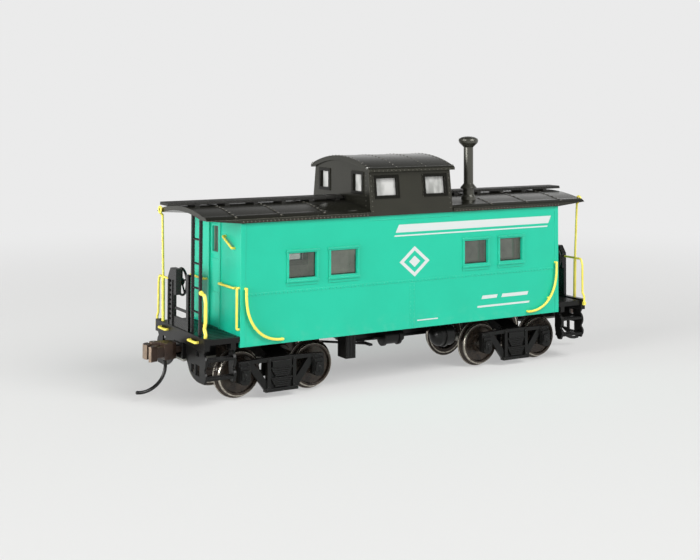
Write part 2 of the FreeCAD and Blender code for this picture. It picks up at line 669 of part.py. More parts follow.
def make_box_screw():
    """Small pan-head screw that holds the coupler box and its lid to the draft sill."""
    head_z = DRAFT_BOX_Z[0] - 0.5
    shank = Part.makeCylinder(BOX_SCREW_RADIUS, 5.4, V(-BOX_SCREW_X, 0, head_z))
    head = Part.makeCylinder(1.1, 0.6, V(-BOX_SCREW_X, 0, head_z - 0.6))
    slot = block(-BOX_SCREW_X - 0.12, -BOX_SCREW_X + 0.12, -2, 2, head_z - 0.8, head_z - 0.3)
    return shank.fuse(head).cut(slot).removeSplitter()


def make_coupler_head():
    """Coupler shank with its eye, head block, guard arm and the two hinge lugs."""
    eye = Part.makeCylinder(1.9, SHANK_Z[1] - SHANK_Z[0], V(-PIVOT_X, 0, SHANK_Z[0]))
    shank = block(-PIVOT_X, -60.2, -1.1, 1.1, *SHANK_Z)
    head = prism_xy([(-58.9, -1.6), (-60.0, -2.3), (-62.1, -2.5), (-62.1, 2.4), (-60.0, 2.3),
                     (-58.9, 1.6)], *HEAD_Z)
    arm = prism_xy([(-61.9, -1.0), (-61.9, -2.1), (-64.8, -2.5), (-64.8, -1.8),
                    (-63.4, -1.1)], HEAD_Z[0] + 0.7, HEAD_Z[1] - 0.7)
    tip = prism_xy([(-64.2, -1.6), (-64.2, -3.1), (-66.0, -3.7), (-66.4, -3.0),
                    (-65.3, -1.9)], HEAD_Z[0] + 0.1, HEAD_Z[1] - 0.1)
    lugs = []
    for low in (HEAD_Z[0], HEAD_Z[1] - LUG_HEIGHT):
        high = low + LUG_HEIGHT
        lugs.append(Part.makeCylinder(1.15, high - low, V(-KNUCKLE_PIN_X, KNUCKLE_PIN_Y, low)))
        lugs.append(prism_xy([(-61.9, 0.4), (-61.9, 2.4), (-63.2, 3.1), (-63.6, 0.9)], low, high))
    body = fused([eye, shank, head, arm, tip] + lugs)
    cutters = [
        Part.makeCylinder(PIVOT_POST_RADIUS + FIT, 4, V(-PIVOT_X, 0, 9.5)),
        Part.makeCylinder(KNUCKLE_PIN_RADIUS, 5, V(-KNUCKLE_PIN_X, KNUCKLE_PIN_Y, 8.8)),
        # relief behind the knuckle's hub, so that it can turn
        Part.makeCylinder(1.25, HUB_HEIGHT + 0.1,
                          V(-KNUCKLE_PIN_X, KNUCKLE_PIN_Y, HEAD_Z[0] + LUG_HEIGHT)),
        # socket for the trip pin
        Part.makeCylinder(TRIP_PIN_RADIUS, 1.6, V(TRIP_PIN_X, 0, HEAD_Z[0])),
    ]
    return body.cut(Part.makeCompound(cutters))


def make_knuckle():
    """Hooked jaw of the coupler, turning on its pin between the head's lugs."""
    low = COUPLER_Z - HUB_HEIGHT / 2
    high = low + HUB_HEIGHT
    hub = Part.makeCylinder(1.1, HUB_HEIGHT, V(-KNUCKLE_PIN_X, KNUCKLE_PIN_Y, low))
    arm = prism_xy([(-63.0, 1.0), (-63.2, 3.05), (-64.6, 3.1), (-64.6, 1.5)], low, high)
    hook = prism_xy([(-64.5, 1.7), (-64.5, 3.0), (-65.6, 2.5), (-66.2, 1.6), (-66.2, 0.2),
                     (-65.9, -0.6), (-65.1, -0.4), (-64.9, 0.9)], COUPLER_Z - 1.7, COUPLER_Z + 1.7)
    hole = Part.makeCylinder(KNUCKLE_PIN_RADIUS + FIT, 5, V(-KNUCKLE_PIN_X, KNUCKLE_PIN_Y, 9))
    return fused([hub, arm, hook]).cut(hole)


def make_knuckle_pin():
    """Straight pin through the head's lugs and the knuckle's hub."""
    place = V(-KNUCKLE_PIN_X, KNUCKLE_PIN_Y, HEAD_Z[0])
    return Part.makeCylinder(KNUCKLE_PIN_RADIUS, HEAD_Z[1] - HEAD_Z[0], place)


def make_trip_pin():
    """Curved steel pin that hangs from the head like an air hose."""
    stem = Part.makeCylinder(TRIP_PIN_RADIUS, 2.0, V(TRIP_PIN_X, 0, 8.8))
    hose = curved_rod([V(TRIP_PIN_X, 0, 8.8), V(-61.1, 0, 6.4), V(-62.3, 0, 3.9),
                       V(-64.8, 0, 2.1), V(-68.0, 0, 1.75)], TRIP_PIN_RADIUS)
    tip = Part.makeSphere(TRIP_PIN_RADIUS + 0.02, V(-68.0, 0, 1.75))
    return fused([stem, hose, tip])


# ---- end platform fittings ----------------------------------------------------------------
LADDER_STILES_Y = (-11.2, -6.5)
RUNG_Z = (21.2, 26.8, 32.6, 38.3)
STAND_Y = (3.9, 7.6)
POST_Y = (-5.4, -4.1)
WHEEL_HUB_Y = 4.9
WHEEL_HUB_Z = 26.4
BRAKE_WHEEL_RADIUS = 3.55
BRAKE_WHEEL_X = (-55.3, -54.6)
WIRE_X = -57.0
WIRE_RADIUS = 0.3


def make_ladder():
    """End ladder of the A end: two flat stiles and round rungs, from beam to roof."""
    pieces = []
    for y in LADDER_STILES_Y:
        stile = block(-57.2, -56.5, y - 0.3, y + 0.3, BEAM_TOP_Z, ROOF_CROWN_Z)
        pieces.append(stile)
    for z in RUNG_Z:
        pieces.append(round_bar(V(-56.85, LADDER_STILES_Y[0], z),
                                V(-56.85, LADDER_STILES_Y[1], z), 0.26))
    ladder = fused(pieces)
    underside = ROOF_CROWN_Z - ROOF_THICKNESS
    return ladder.common(under_arch(ROOF_HALF_WIDTH - 0.8, underside, ROOF_RADIUS,
                                    BEAM_TOP_Z, -58, -56))


def make_brake_stand():
    """Brake column of the A end: slotted channel, chamfered gear housing and wheel stub."""
    y0, y1 = STAND_Y
    column = block(-57.5, -56.7, y0, y1, BEAM_TOP_Z, 27.6)
    ribs = [block(-57.7, -57.4, y, y + 0.55, BEAM_TOP_Z, 27.0) for y in (y0 + 0.5, y1 - 0.75)]
    slots = []
    for i in range(9):
        z = 17.2 + 1.15 * i
        slots.append(block(-58, -57.15, y0 + 1.35, y1 - 1.05, z, z + 0.55))
    housing = prism_yz([(2.4, 23.6), (y1, 23.6), (y1, 27.8), (6.1, 29.9), (2.4, 29.9)],
                       -57.5, -56.1)
    collar = round_bar(V(-56.2, WHEEL_HUB_Y, WHEEL_HUB_Z), V(-55.5, WHEEL_HUB_Y, WHEEL_HUB_Z), 0.8)
    stub = round_bar(V(-56.2, WHEEL_HUB_Y, WHEEL_HUB_Z), V(-54.3, WHEEL_HUB_Y, WHEEL_HUB_Z), 0.4)
    return fused([column, housing, collar, stub] + ribs).cut(Part.makeCompound(slots))


def make_brake_wheel():
    """Hand brake wheel: round rim, hub and five spokes."""
    x0, x1 = BRAKE_WHEEL_X
    centre = V((x0 + x1) / 2, WHEEL_HUB_Y, WHEEL_HUB_Z)
    rim_radius = 0.3
    rim = Part.makeTorus(BRAKE_WHEEL_RADIUS - rim_radius, rim_radius, centre, V(1, 0, 0))
    hub = round_bar(V(x0, WHEEL_HUB_Y, WHEEL_HUB_Z), V(x1, WHEEL_HUB_Y, WHEEL_HUB_Z), 0.85)
    spokes = []
    for i in range(5):
        angle = math.radians(90 + 72 * i)
        out = V(0, math.cos(angle), math.sin(angle))
        spokes.append(round_bar(centre + out * 0.5, centre + out * 3.2, 0.22))
    wheel = fused([rim, hub] + spokes)
    bore = round_bar(V(x0 - 1, WHEEL_HUB_Y, WHEEL_HUB_Z), V(x1 + 1, WHEEL_HUB_Y, WHEEL_HUB_Z),
                     0.4 + FIT)
    return wheel.cut(bore)


def make_end_rail():
    """Black railing of the A end: inner post, crossbar and toe board."""
    post = block(-57.5, -56.9, POST_Y[0], POST_Y[1], BEAM_TOP_Z, 28.9)
    cap = block(-57.6, -56.8, POST_Y[0] - 0.1, POST_Y[1] + 0.1, 28.9, 29.4)
    bar = block(-57.3, -56.9, POST_Y[1] - 0.1, STAND_Y[0] - 0.02, 20.1, 20.7)
    board = block(-57.4, -56.8, POST_Y[1] - 0.1, STAND_Y[0] - 0.02, BEAM_TOP_Z, 18.4)
    return fused([post, cap, bar, board])


def make_tall_rail():
    """Yellow handrail of the A end: roof-to-beam post with an eyelet, and its corner loop."""
    low = V(WIRE_X, 11.8, BEAM_TOP_Z)
    waist = V(WIRE_X, 12.1, 27.0)
    high = V(WIRE_X, 13.0, 42.2)
    eye_x = -ROOF_HALF_LENGTH - 0.3
    eye_y = 13.1
    thick = round_bar(low, waist, 0.42)
    thin = round_bar(waist, high, WIRE_RADIUS)
    eye = Part.makeTorus(0.75, 0.28, V(eye_x, eye_y, 43.6), V(1, 0, 0))
    link = round_bar(high, V(eye_x, eye_y, 42.9), WIRE_RADIUS)
    bend = Part.makeSphere(WIRE_RADIUS + 0.01, high)
    loop = wire_rod([V(WIRE_X, STAND_Y[1], 26.9), V(WIRE_X, 14.6, 26.9),
                     V(WIRE_X, 15.2, 25.2), V(WIRE_X, 15.2, 17.6),
                     V(WIRE_X, 15.9, 16.6), V(WIRE_X, 15.9, 15.0)], WIRE_RADIUS, 0.6)
    foot = block(WIRE_X - 0.35, WIRE_X + 0.35, BEAM_HALF_WIDTH, 16.25, 14.2, 15.1)
    return fused([thick, thin, eye, link, bend, loop, foot])


def make_corner_rail():
    """Yellow corner rail of the A end beside the ladder, with a ball where it starts."""
    rail = wire_rod([V(WIRE_X, -11.55, 26.1), V(WIRE_X, -14.1, 25.7),
                     V(WIRE_X, -14.7, 24.0), V(WIRE_X, -14.7, 19.6),
                     V(WIRE_X, -14.1, 18.0), V(WIRE_X, -14.9, 16.7),
                     V(WIRE_X, -14.5, BEAM_TOP_Z - 0.5)], 0.42, 0.6)
    ball = Part.makeSphere(0.58, V(WIRE_X, -12.15, 26.0))
    below_beam = block(WIRE_X - 1, WIRE_X + 1, -16, -13, BEAM_TOP_Z - 2, BEAM_TOP_Z)
    return rail.fuse(ball).cut(below_beam).removeSplitter()


def make_beam_handles():
    """Yellow hand grips on the outer face of the A end's beam."""
    z = 14.6
    half_length = 2.25
    inner_x = -BEAM_OUTER_X
    outer_x = inner_x - 0.8
    solids = []
    for centre_y in (9.15, -9.75):
        y0 = centre_y - half_length
        y1 = centre_y + half_length
        solids.append(wire_rod([V(inner_x, y0, z), V(outer_x, y0, z), V(outer_x, y1, z),
                                V(inner_x, y1, z)], 0.33, 0.45))
    return solids


def make_wall_grabs():
    """Yellow grab irons on the A end wall: one sloping, two level and one upright."""
    face = -BODY_HALF_LENGTH
    paths = [
        (0.85, (-6.6, 38.4), (-11.9, 36.0)),
        (0.85, (-4.3, 26.7), (-13.0, 26.7)),
        (0.85, (4.6, 26.7), (13.4, 26.7)),
        (0.7, (-14.65, 26.9), (-14.65, 17.2)),
    ]
    solids = []
    for stand_off, (y0, z0), (y1, z1) in paths:
        out = face - stand_off
        solids.append(wire_rod([V(face, y0, z0), V(out, y0, z0), V(out, y1, z1),
                                V(face, y1, z1)], WIRE_RADIUS, 0.35))
    return solids


def make_side_grab():
    """Curved yellow grab iron beside the steps, on the side wall at -X, -Y."""
    y = -BODY_HALF_WIDTH - 0.8
    curve = [V(-47.1, y, 26.7), V(-47.0, y, 23.4), V(-46.2, y, 19.9), V(-44.6, y, 17.2),
             V(-42.9, y, 15.6), V(-40.6, y, 14.5), V(-37.4, y, 14.1)]
    pieces = [curved_rod(curve, 0.33)]
    for point in (curve[0], curve[3], curve[-1]):
        pieces.append(round_bar(V(point.x, -BODY_HALF_WIDTH, point.z), point, 0.3))
        pieces.append(Part.makeSphere(0.34, point))
    return fused(pieces)


# ---- trucks -------------------------------------------------------------------------------
SPRING_HALF_LENGTH = 2.9
LEAF_COUNT = 5
LEAF_PITCH = 0.47
CHORD_Z = (8.1, 9.15)     # upper bar of the side frames
TIE_BAR_Z = (0.9, 1.7)
TRUCK_SCREW_SEAT_Z = 8.05 # where the head of the truck screw bears
BEARING_SLOPE = 0.61      # radius per length of the conical axle bearings


def side_frame():
    """Truck side frame at +Y: top chord, diagonals, spring block, tie bar and axle boxes."""
    y0, y1 = SIDE_FRAME_Y
    low_z, high_z = CHORD_Z
    axle_z = WHEEL_RADIUS
    reach = AXLE_OFFSET + 1.55
    pieces = [prism_xz([(-reach, low_z), (-reach, high_z - 0.3), (-3.2, high_z),
                        (3.2, high_z), (reach, high_z - 0.3), (reach, low_z)], y0, y1)]
    for side in (-1, 1):
        near = side * (AXLE_OFFSET - 1.55)
        middle = side * AXLE_OFFSET
        far = side * reach
        # diagonal from the axle box down to the tie bar
        pieces.append(prism_xz([(near + side * 0.4, low_z + 0.1), (near - side * 1.0, low_z + 0.1),
                                (side * 3.0, 2.4), (side * 3.0, 1.0), (side * 4.3, 1.2),
                                (near + side * 0.2, 7.0)], y0, y1 - 0.2))
        # column beside the springs
        pieces.append(block(side * 3.0, side * 3.9, y0, y1 + 0.2, 1.2, high_z - 0.4))
        # pedestal and axle box
        pieces.append(block(near, far, y0, y1 + 0.2, axle_z - 1.65, high_z - 0.4))
        pieces.append(prism_xz([(near + side * 0.2, axle_z - 1.3), (middle - side * 0.6, axle_z - 2.1),
                                (middle + side * 0.6, axle_z - 2.1), (far - side * 0.2, axle_z - 1.3),
                                (far - side * 0.2, axle_z + 2.1), (near + side * 0.2, axle_z + 2.1)],
                               y0, 13.0))
        pieces.append(block(middle - 1.05, middle + 1.05, 12.9, 13.35, axle_z - 0.9, axle_z + 1.3))
    # tie bar, spring block and the plate behind the springs
    pieces.append(block(-4.4, 4.4, y0, y1 + 0.3, *TIE_BAR_Z))
    pieces.append(block(-3.1, 3.1, y0, y0 + 0.8, TIE_BAR_Z[0] + 0.3, high_z - 0.2))
    pieces.append(block(-2.6, 2.6, y0, y1 + 0.4, 6.8, low_z + 0.1))
    # leaf springs in two stacks, longest leaf on top of each
    for base_z in (2.0, 4.5):
        for i in range(LEAF_COUNT):
            half = SPRING_HALF_LENGTH - 0.28 * (LEAF_COUNT - 1 - i)
            z = base_z + LEAF_PITCH * i
            pieces.append(block(-half, half, y0 + 0.3, y1 + 0.25, z, z + 0.36))
    return fused(pieces)


def make_truck_frame():
    """Moulded truck frame centred on the Z axis: side frames, bolster and brake beams."""
    y0 = SIDE_FRAME_Y[0]
    frame_z = CHORD_Z[0] + 0.1
    bolster = prism_yz([(-y0 - 0.1, frame_z), (-y0 - 0.1, 8.8), (-6.8, 10.2), (-3.4, 11.1),
                        (3.4, 11.1), (6.8, 10.2), (y0 + 0.1, 8.8), (y0 + 0.1, frame_z)],
                       -2.6, 2.6)
    plate_height = 1.0
    plate = Part.makeCylinder(3.0, plate_height, V(0, 0, TRUCK_TOP_Z - FIT - plate_height))
    boss = Part.makeCylinder(2.6, 1.6, V(0, 0, TRUCK_SCREW_SEAT_Z - 0.65))
    pieces = [side_frame(), mirrored_y(side_frame()), bolster, plate, boss]
    for side in (-1, 1):
        # inner brake hangers beside the bolster and the beam between them
        for y in (-8.6, 8.6):
            pieces.append(prism_xz([(side * 2.5, 9.3), (side * 3.1, 9.3), (side * 3.5, 6.9),
                                    (side * 3.6, 4.2), (side * 3.0, 4.2), (side * 2.9, 6.8),
                                    (side * 2.5, 8.6)], y - 0.6, y + 0.6))
        pieces.append(block(side * 2.95, side * 3.45, -8.8, 8.8, 4.6, 5.2))
    frame = fused(pieces)
    cutters = [
        Part.makeCylinder(SCREW_RADIUS + 0.06, 6, V(0, 0, 6.5)),
        Part.makeCylinder(2.05, TRUCK_SCREW_SEAT_Z - 6.5, V(0, 0, 6.5)),
    ]
    # conical axle bearings in the axle boxes
    mouth_y = y0 - 0.3
    tip_radius = 0.05
    depth = AXLE_TIP_Y + 0.02 - mouth_y
    for x in (-AXLE_OFFSET, AXLE_OFFSET):
        for side in (-1, 1):
            cutters.append(Part.makeCone(tip_radius + depth * BEARING_SLOPE, tip_radius, depth,
                                         V(x, side * mouth_y, WHEEL_RADIUS), V(0, side, 0)))
    return frame.cut(Part.makeCompound(cutters))


def make_truck_screw():
    """Pan-head screw on which a truck turns, threaded into the underframe's boss."""
    seat_z = TRUCK_SCREW_SEAT_Z
    head_height = 1.1
    shank = Part.makeCylinder(SCREW_RADIUS, SCREW_LENGTH, V(0, 0, seat_z))
    head = Part.makeCylinder(1.9, head_height, V(0, 0, seat_z - head_height))
    slot = block(-0.2, 0.2, -2, 2, seat_z - head_height - 0.1, seat_z - 0.6)
    return shank.fuse(head).cut(slot).removeSplitter()


def make_axle():
    """Needle-point axle on the Y axis."""
    cone = AXLE_RADIUS / math.tan(math.radians(30))
    y = AXLE_TIP_Y
    outline = [(0, -y), (AXLE_RADIUS, -y + cone), (AXLE_RADIUS, y - cone), (0, y)]
    face = Part.Face(Part.makePolygon([V(r, t, 0) for r, t in outline] + [V(0, -y, 0)]))
    return face.revolve(V(0, 0, 0), V(0, 1, 0), 360)


def make_wheel(bore):
    """Flanged metal wheel at +Y, with a dished plate and a raised hub."""
    inner = BACK_TO_BACK / 2
    outer = inner + WHEEL_WIDTH
    tread = WHEEL_RADIUS
    flange = tread + FLANGE_DEPTH
    outline = [(bore, inner), (2.0, inner), (2.3, inner + 0.6), (3.9, inner + 0.9),
               (4.3, inner), (flange - 0.25, inner), (flange, inner + 0.25),
               (flange - 0.05, inner + 0.55), (tread + 0.12, inner + 0.75),
               (tread, inner + 0.95), (tread - 0.08, outer - 0.3), (tread - 0.35, outer),
               (tread - 0.85, outer), (tread - 1.0, outer - 0.85), (2.3, outer - 1.15),
               (2.0, outer - 0.2), (1.9, outer), (bore, outer)]
    face = Part.Face(Part.makePolygon([V(r, t, 0) for r, t in outline]
                                      + [V(bore, inner, 0)]))
    return face.revolve(V(0, 0, 0), V(0, 1, 0), 360)


def make_bush():
    """Insulating sleeve between the axle and the wheel at +Y."""
    inner = BACK_TO_BACK / 2
    sleeve = Part.makeCylinder(BUSH_RADIUS, WHEEL_WIDTH, V(0, inner, 0), V(0, 1, 0))
    bore = Part.makeCylinder(AXLE_RADIUS, WHEEL_WIDTH, V(0, inner, 0), V(0, 1, 0))
    return sleeve.cut(bore)


# ---- underfloor equipment -----------------------------------------------------------------
RESERVOIR_X = (10.6, 18.2)
RESERVOIR_Y = -8.0
RESERVOIR_Z = 8.9
RESERVOIR_RADIUS = 2.9
BRAKE_CYLINDER_X = (-3.6, 2.4)
BRAKE_CYLINDER_Y = -5.4
BRAKE_CYLINDER_Z = 9.4
BATTERY_BOX_X = (-17.7, -14.9)
BATTERY_BOX_Y = (-12.0, -7.8)
BATTERY_BOX_LOW_Z = 6.5


def make_reservoir():
    """Air reservoir: two domed tanks joined by a flange, hung from two brackets."""
    x0, x1 = RESERVOIR_X
    r = RESERVOIR_RADIUS
    axis = V(1, 0, 0)
    y = RESERVOIR_Y
    z = RESERVOIR_Z
    dome = 1.9
    dome_radius = (r ** 2 + dome ** 2) / (2 * dome)
    barrel = Part.makeCylinder(r, x1 - x0 - 2 * dome, V(x0 + dome, y, z), axis)
    near_end = Part.makeCylinder(r, dome, V(x0, y, z), axis)
    far_end = Part.makeCylinder(r, dome, V(x1 - dome, y, z), axis)
    near_dome = near_end.common(Part.makeSphere(dome_radius, V(x0 + dome_radius, y, z)))
    far_dome = far_end.common(Part.makeSphere(dome_radius, V(x1 - dome_radius, y, z)))
    seam = Part.makeCylinder(r + 0.35, 0.7, V(x0 + 0.42 * (x1 - x0), y, z), axis)
    hangers = []
    for x in (x0 + 2.2, x1 - 2.8):
        hangers.append(block(x, x + 0.6, y - 1.2, y + 1.2, z + 2.5, FLOOR_Z - FLOOR_THICKNESS))
    return fused([barrel, near_dome, far_dome, seam] + hangers)


def make_brake_cylinder():
    """Air brake cylinder beside the centre sill, with its push rod and mounting feet."""
    x0, x1 = BRAKE_CYLINDER_X
    axis = V(1, 0, 0)
    y = BRAKE_CYLINDER_Y
    z = BRAKE_CYLINDER_Z
    pieces = [
        Part.makeCylinder(1.9, x1 - x0 - 1.6, V(x0 + 0.8, y, z), axis),
        Part.makeCylinder(2.25, 0.7, V(x0 + 0.3, y, z), axis),
        Part.makeCylinder(2.25, 0.6, V(x1 - 1.1, y, z), axis),
        Part.makeCylinder(1.4, 1.5, V(x1 - 0.9, y, z), axis),
        Part.makeCylinder(0.45, 3.2, V(x0 - 2.4, y, z), axis),
    ]
    for x in (x0 + 1.3, x1 - 2.3):
        pieces.append(block(x, x + 0.8, y - 0.9, y + 0.9, z + 1.2, FLOOR_Z - FLOOR_THICKNESS))
    return fused(pieces)


def make_battery_box():
    """Ribbed battery box hanging behind the left side sill."""
    x0, x1 = BATTERY_BOX_X
    y0, y1 = BATTERY_BOX_Y
    rib_count = 3
    rib_width = 0.4
    pieces = [block(x0, x1, y0, y1, BATTERY_BOX_LOW_Z, FLOOR_Z - FLOOR_THICKNESS)]
    for i in range(rib_count):
        x = x0 + 0.3 + i * (x1 - x0 - 0.6 - rib_width) / (rib_count - 1)
        pieces.append(block(x, x + rib_width, y0 - 0.15, y0 + 0.1, BATTERY_BOX_LOW_Z + 0.4, 12.6))
    return fused(pieces)


def make_brake_rods():
    """Brake lever under the centre sill and the two long pull rods in their guides."""
    lever = block(-7.2, -6.2, -5.9, 5.0, 7.6, 8.1)
    solids = []
    for end, y in ((-1, -3.9), (1, 4.2)):
        rod = round_bar(V(-6.7, y, 7.85), V(end * 22.0, y, 10.0), 0.3)
        x = end * BEARER_X[1]
        hanger = block(x - 0.3, x + 0.3, y - 0.4, y + 0.4, 9.6, BEARER_Z)
        solids.append(rod)
        solids.append(hanger)
    bracket = block(-7.0, -6.4, -0.5, 0.5, 7.7, 8.4)
    return fused([lever, bracket] + solids)


def make_weight():
    """Steel weight plate on the floor inside the body."""
    plate = block(-34, 34, -10.5, 10.5, FLOOR_Z, FLOOR_Z + 2.6)
    notches = [block(end * 30, end * 35, -3, 3, FLOOR_Z - 1, FLOOR_Z + 4) for end in (-1, 1)]
    return plate.cut(Part.makeCompound(notches))


# ---- assembly -----------------------------------------------------------------------------
def main():
    nodes = {}

    nodes["roof"] = [make_roof()]
    nodes["running_boards"] = [mirrored_x(make_running_board(BOARD_A_OUTER_X)),
                               make_running_board(BOARD_B_OUTER_X)]
    nodes["smokejack"] = [make_smokejack()]
    nodes["cupola_shell"] = [make_cupola_shell()]
    nodes["cupola_roof"] = [make_cupola_roof()]
    nodes["cupola_glazing"] = [make_cupola_glazing()]
    nodes["side_glazing"] = make_side_glazing()
    nodes["door_glazing"] = make_door_glazing()
    nodes["body_shell"] = [make_body_shell()]

    nodes["underframe"] = [make_underframe()]
    nodes["steel_weight"] = [make_weight()]
    nodes["air_reservoir"] = [make_reservoir()]
    nodes["brake_cylinder"] = [make_brake_cylinder()]
    nodes["battery_box"] = [make_battery_box()]
    nodes["brake_rods"] = [make_brake_rods()]
    names = ("step_b_right", "step_b_left", "step_a_right", "step_a_left")
    for name, shape in zip(names, four_corners(make_step())):
        nodes[name] = [shape]

    one_end = {
        "ladder": [make_ladder()],
        "brake_stand": [make_brake_stand()],
        "brake_wheel": [make_brake_wheel()],
        "end_rail": [make_end_rail()],
        "draft_box": [make_draft_box()],
        "draft_lid": [make_draft_lid()],
        "coupler": [make_coupler_head()],
        "knuckle": [make_knuckle()],
        "knuckle_pin": [make_knuckle_pin()],
        "trip_pin": [make_trip_pin()],
    }
    for name, shapes in one_end.items():
        nodes[name + "_a"] = shapes
        nodes[name + "_b"] = [turned_half(shape) for shape in shapes]

    both_ends = {
        "draft_box_screws": [make_box_screw()],
        "tall_handrails": [make_tall_rail()],
        "corner_handrails": [make_corner_rail()],
        "beam_handles": make_beam_handles(),
        "end_wall_grab_irons": make_wall_grabs(),
    }
    for name, shapes in both_ends.items():
        nodes[name] = shapes + [turned_half(shape) for shape in shapes]
    nodes["side_grab_irons"] = four_corners(make_side_grab())

    frame = make_truck_frame()
    screw = make_truck_screw()
    screws = []
    for letter, end in (("a", -1), ("b", 1)):
        place = V(end * TRUCK_X, 0, 0)
        nodes["truck_frame_" + letter] = [moved(frame, place)]
        screws.append(moved(screw, place))
        for number, offset in (("1", -end * AXLE_OFFSET), ("2", end * AXLE_OFFSET)):
            axle_place = V(end * TRUCK_X + offset, 0, WHEEL_RADIUS)
            plain = mirrored_y(make_wheel(AXLE_RADIUS))
            insulated = make_wheel(BUSH_RADIUS)
            tag = letter + number
            nodes["axle_" + tag] = [moved(make_axle(), axle_place)]
            nodes["wheels_" + tag] = [moved(plain, axle_place), moved(insulated, axle_place)]
            nodes["wheel_bush_" + tag] = [moved(make_bush(), axle_place)]
    nodes["truck_screws"] = screws

    os.makedirs("parts", exist_ok=True)
    for name, shapes in nodes.items():
        shape = shapes[0] if len(shapes) == 1 else Part.makeCompound(shapes)
        shape.exportStep("parts/" + name + ".step")


main()
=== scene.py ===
import json
import math

import bmesh
import bpy
from mathutils import Matrix, Vector
from mathutils.bvhtree import BVHTree


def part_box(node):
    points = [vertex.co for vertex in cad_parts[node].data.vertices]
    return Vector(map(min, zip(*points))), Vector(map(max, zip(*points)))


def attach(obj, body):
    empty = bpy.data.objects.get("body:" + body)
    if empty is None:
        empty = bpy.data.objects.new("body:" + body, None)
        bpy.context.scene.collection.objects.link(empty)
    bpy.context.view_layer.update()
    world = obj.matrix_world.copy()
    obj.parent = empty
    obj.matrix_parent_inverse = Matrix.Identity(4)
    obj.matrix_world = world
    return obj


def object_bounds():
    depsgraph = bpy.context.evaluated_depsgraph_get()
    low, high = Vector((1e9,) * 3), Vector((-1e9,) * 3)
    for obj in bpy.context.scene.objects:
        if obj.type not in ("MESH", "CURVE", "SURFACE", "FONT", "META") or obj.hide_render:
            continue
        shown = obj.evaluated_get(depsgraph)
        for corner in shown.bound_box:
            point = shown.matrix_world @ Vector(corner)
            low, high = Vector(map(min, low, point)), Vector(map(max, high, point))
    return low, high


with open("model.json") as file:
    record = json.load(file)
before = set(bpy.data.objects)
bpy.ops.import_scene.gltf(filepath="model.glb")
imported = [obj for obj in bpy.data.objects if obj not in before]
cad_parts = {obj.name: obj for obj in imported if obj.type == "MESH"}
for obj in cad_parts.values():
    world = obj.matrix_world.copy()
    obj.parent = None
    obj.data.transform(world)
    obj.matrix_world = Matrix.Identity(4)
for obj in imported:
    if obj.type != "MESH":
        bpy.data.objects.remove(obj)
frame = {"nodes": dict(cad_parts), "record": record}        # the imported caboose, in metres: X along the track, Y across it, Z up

# Looks of an HO scale model caboose. The CAD nodes keep their shapes. This script gives them
# their materials and adds the fine relief that a moulded model has: rivets, seam straps, tread
# ribs, bolts, and plain painted marks in place of lettering.

MM = 0.001

# window places in millimetres, which some materials follow
SIDE_PAIR_X = 26.0              # middle of each pair of side windows
SIDE_PANE_OFFSET_X = 5.8        # from there to the middle of either pane
SIDE_PANE_MIDDLE_Z = 31.25
SIDE_PANE_SHADE_X = 3.5           # where a pane's painted shade line starts, from its middle
SIDE_PANE_SHADE_Z = 2.76
PANE_SHADE_FADE = 0.08
CUPOLA_SIDE_X = 7.45            # middle of the cupola's side windows
CUPOLA_SIDE_Z = 49.35
CUPOLA_SIDE_HALF = (3.85, 2.95)  # half size with the surround
CUPOLA_END_Y = 8.7              # middle of the cupola's end windows
CUPOLA_END_Z = 50.25
CUPOLA_END_HALF = (3.0, 2.95)

# fine relief, in millimetres
RIVET = 0.2                     # radius of the small rivets on the sides
ROOF_RIVET = 0.3                # radius of the larger rivets on the roofs
SEAM_PITCH = 12.0               # distance between roof seams
SMALL_PITCH = 1.05              # distance between small rivets
BELT_Z = 25.1                   # height of the belt seam
MARK_THICKNESS = 0.03

# studio, in metres and degrees
BACKDROP = 0.83                 # brightness of the pale surroundings
CAMERA_PLACE = (-0.1711, -0.2788, 0.0716)
CAMERA_YAW = 31.09              # to the right of straight across the track
CAMERA_PITCH = 2.512            # above the horizon
CAMERA_ROLL = 0.149
CAMERA_LENS = 62.41
CAMERA_SHIFT = {"shift_x": -0.0318, "shift_y": -0.334}
SHIFT_HELD = 0.001              # the shift holds within this distance of the camera's place
SHIFT_GONE = 0.002              # and is zero from here on

cad_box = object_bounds()
nodes = frame["nodes"]
record = frame["record"]
scene = bpy.context.scene


# ---- places on the CAD surfaces -----------------------------------------------------------
def surface_of(*names):
    """Surface of some CAD nodes at rest, to drop points onto."""
    mesh = bmesh.new()
    for name in names:
        mesh.from_mesh(nodes[name].data)
    tree = BVHTree.FromBMesh(mesh)
    mesh.free()
    return tree


def touch(tree, start, direction):
    """Point and outward normal where a ray from start, in millimetres, meets the surface."""
    aim = Vector(direction).normalized()
    place, normal, _, _ = tree.ray_cast(Vector(start) * MM, aim)
    if place is None:
        return None
    if normal.dot(aim) > 0:
        normal = -normal
    return place / MM, normal


def box_mm(name):
    """Lowest and highest corner of a CAD node in millimetres."""
    low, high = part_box(name)
    return low / MM, high / MM


def spaced(start, end, step):
    """Evenly spaced values from start to end, about step apart, both ends included."""
    count = max(1, round(abs(end - start) / step))
    return [start + (end - start) * i / count for i in range(count + 1)]


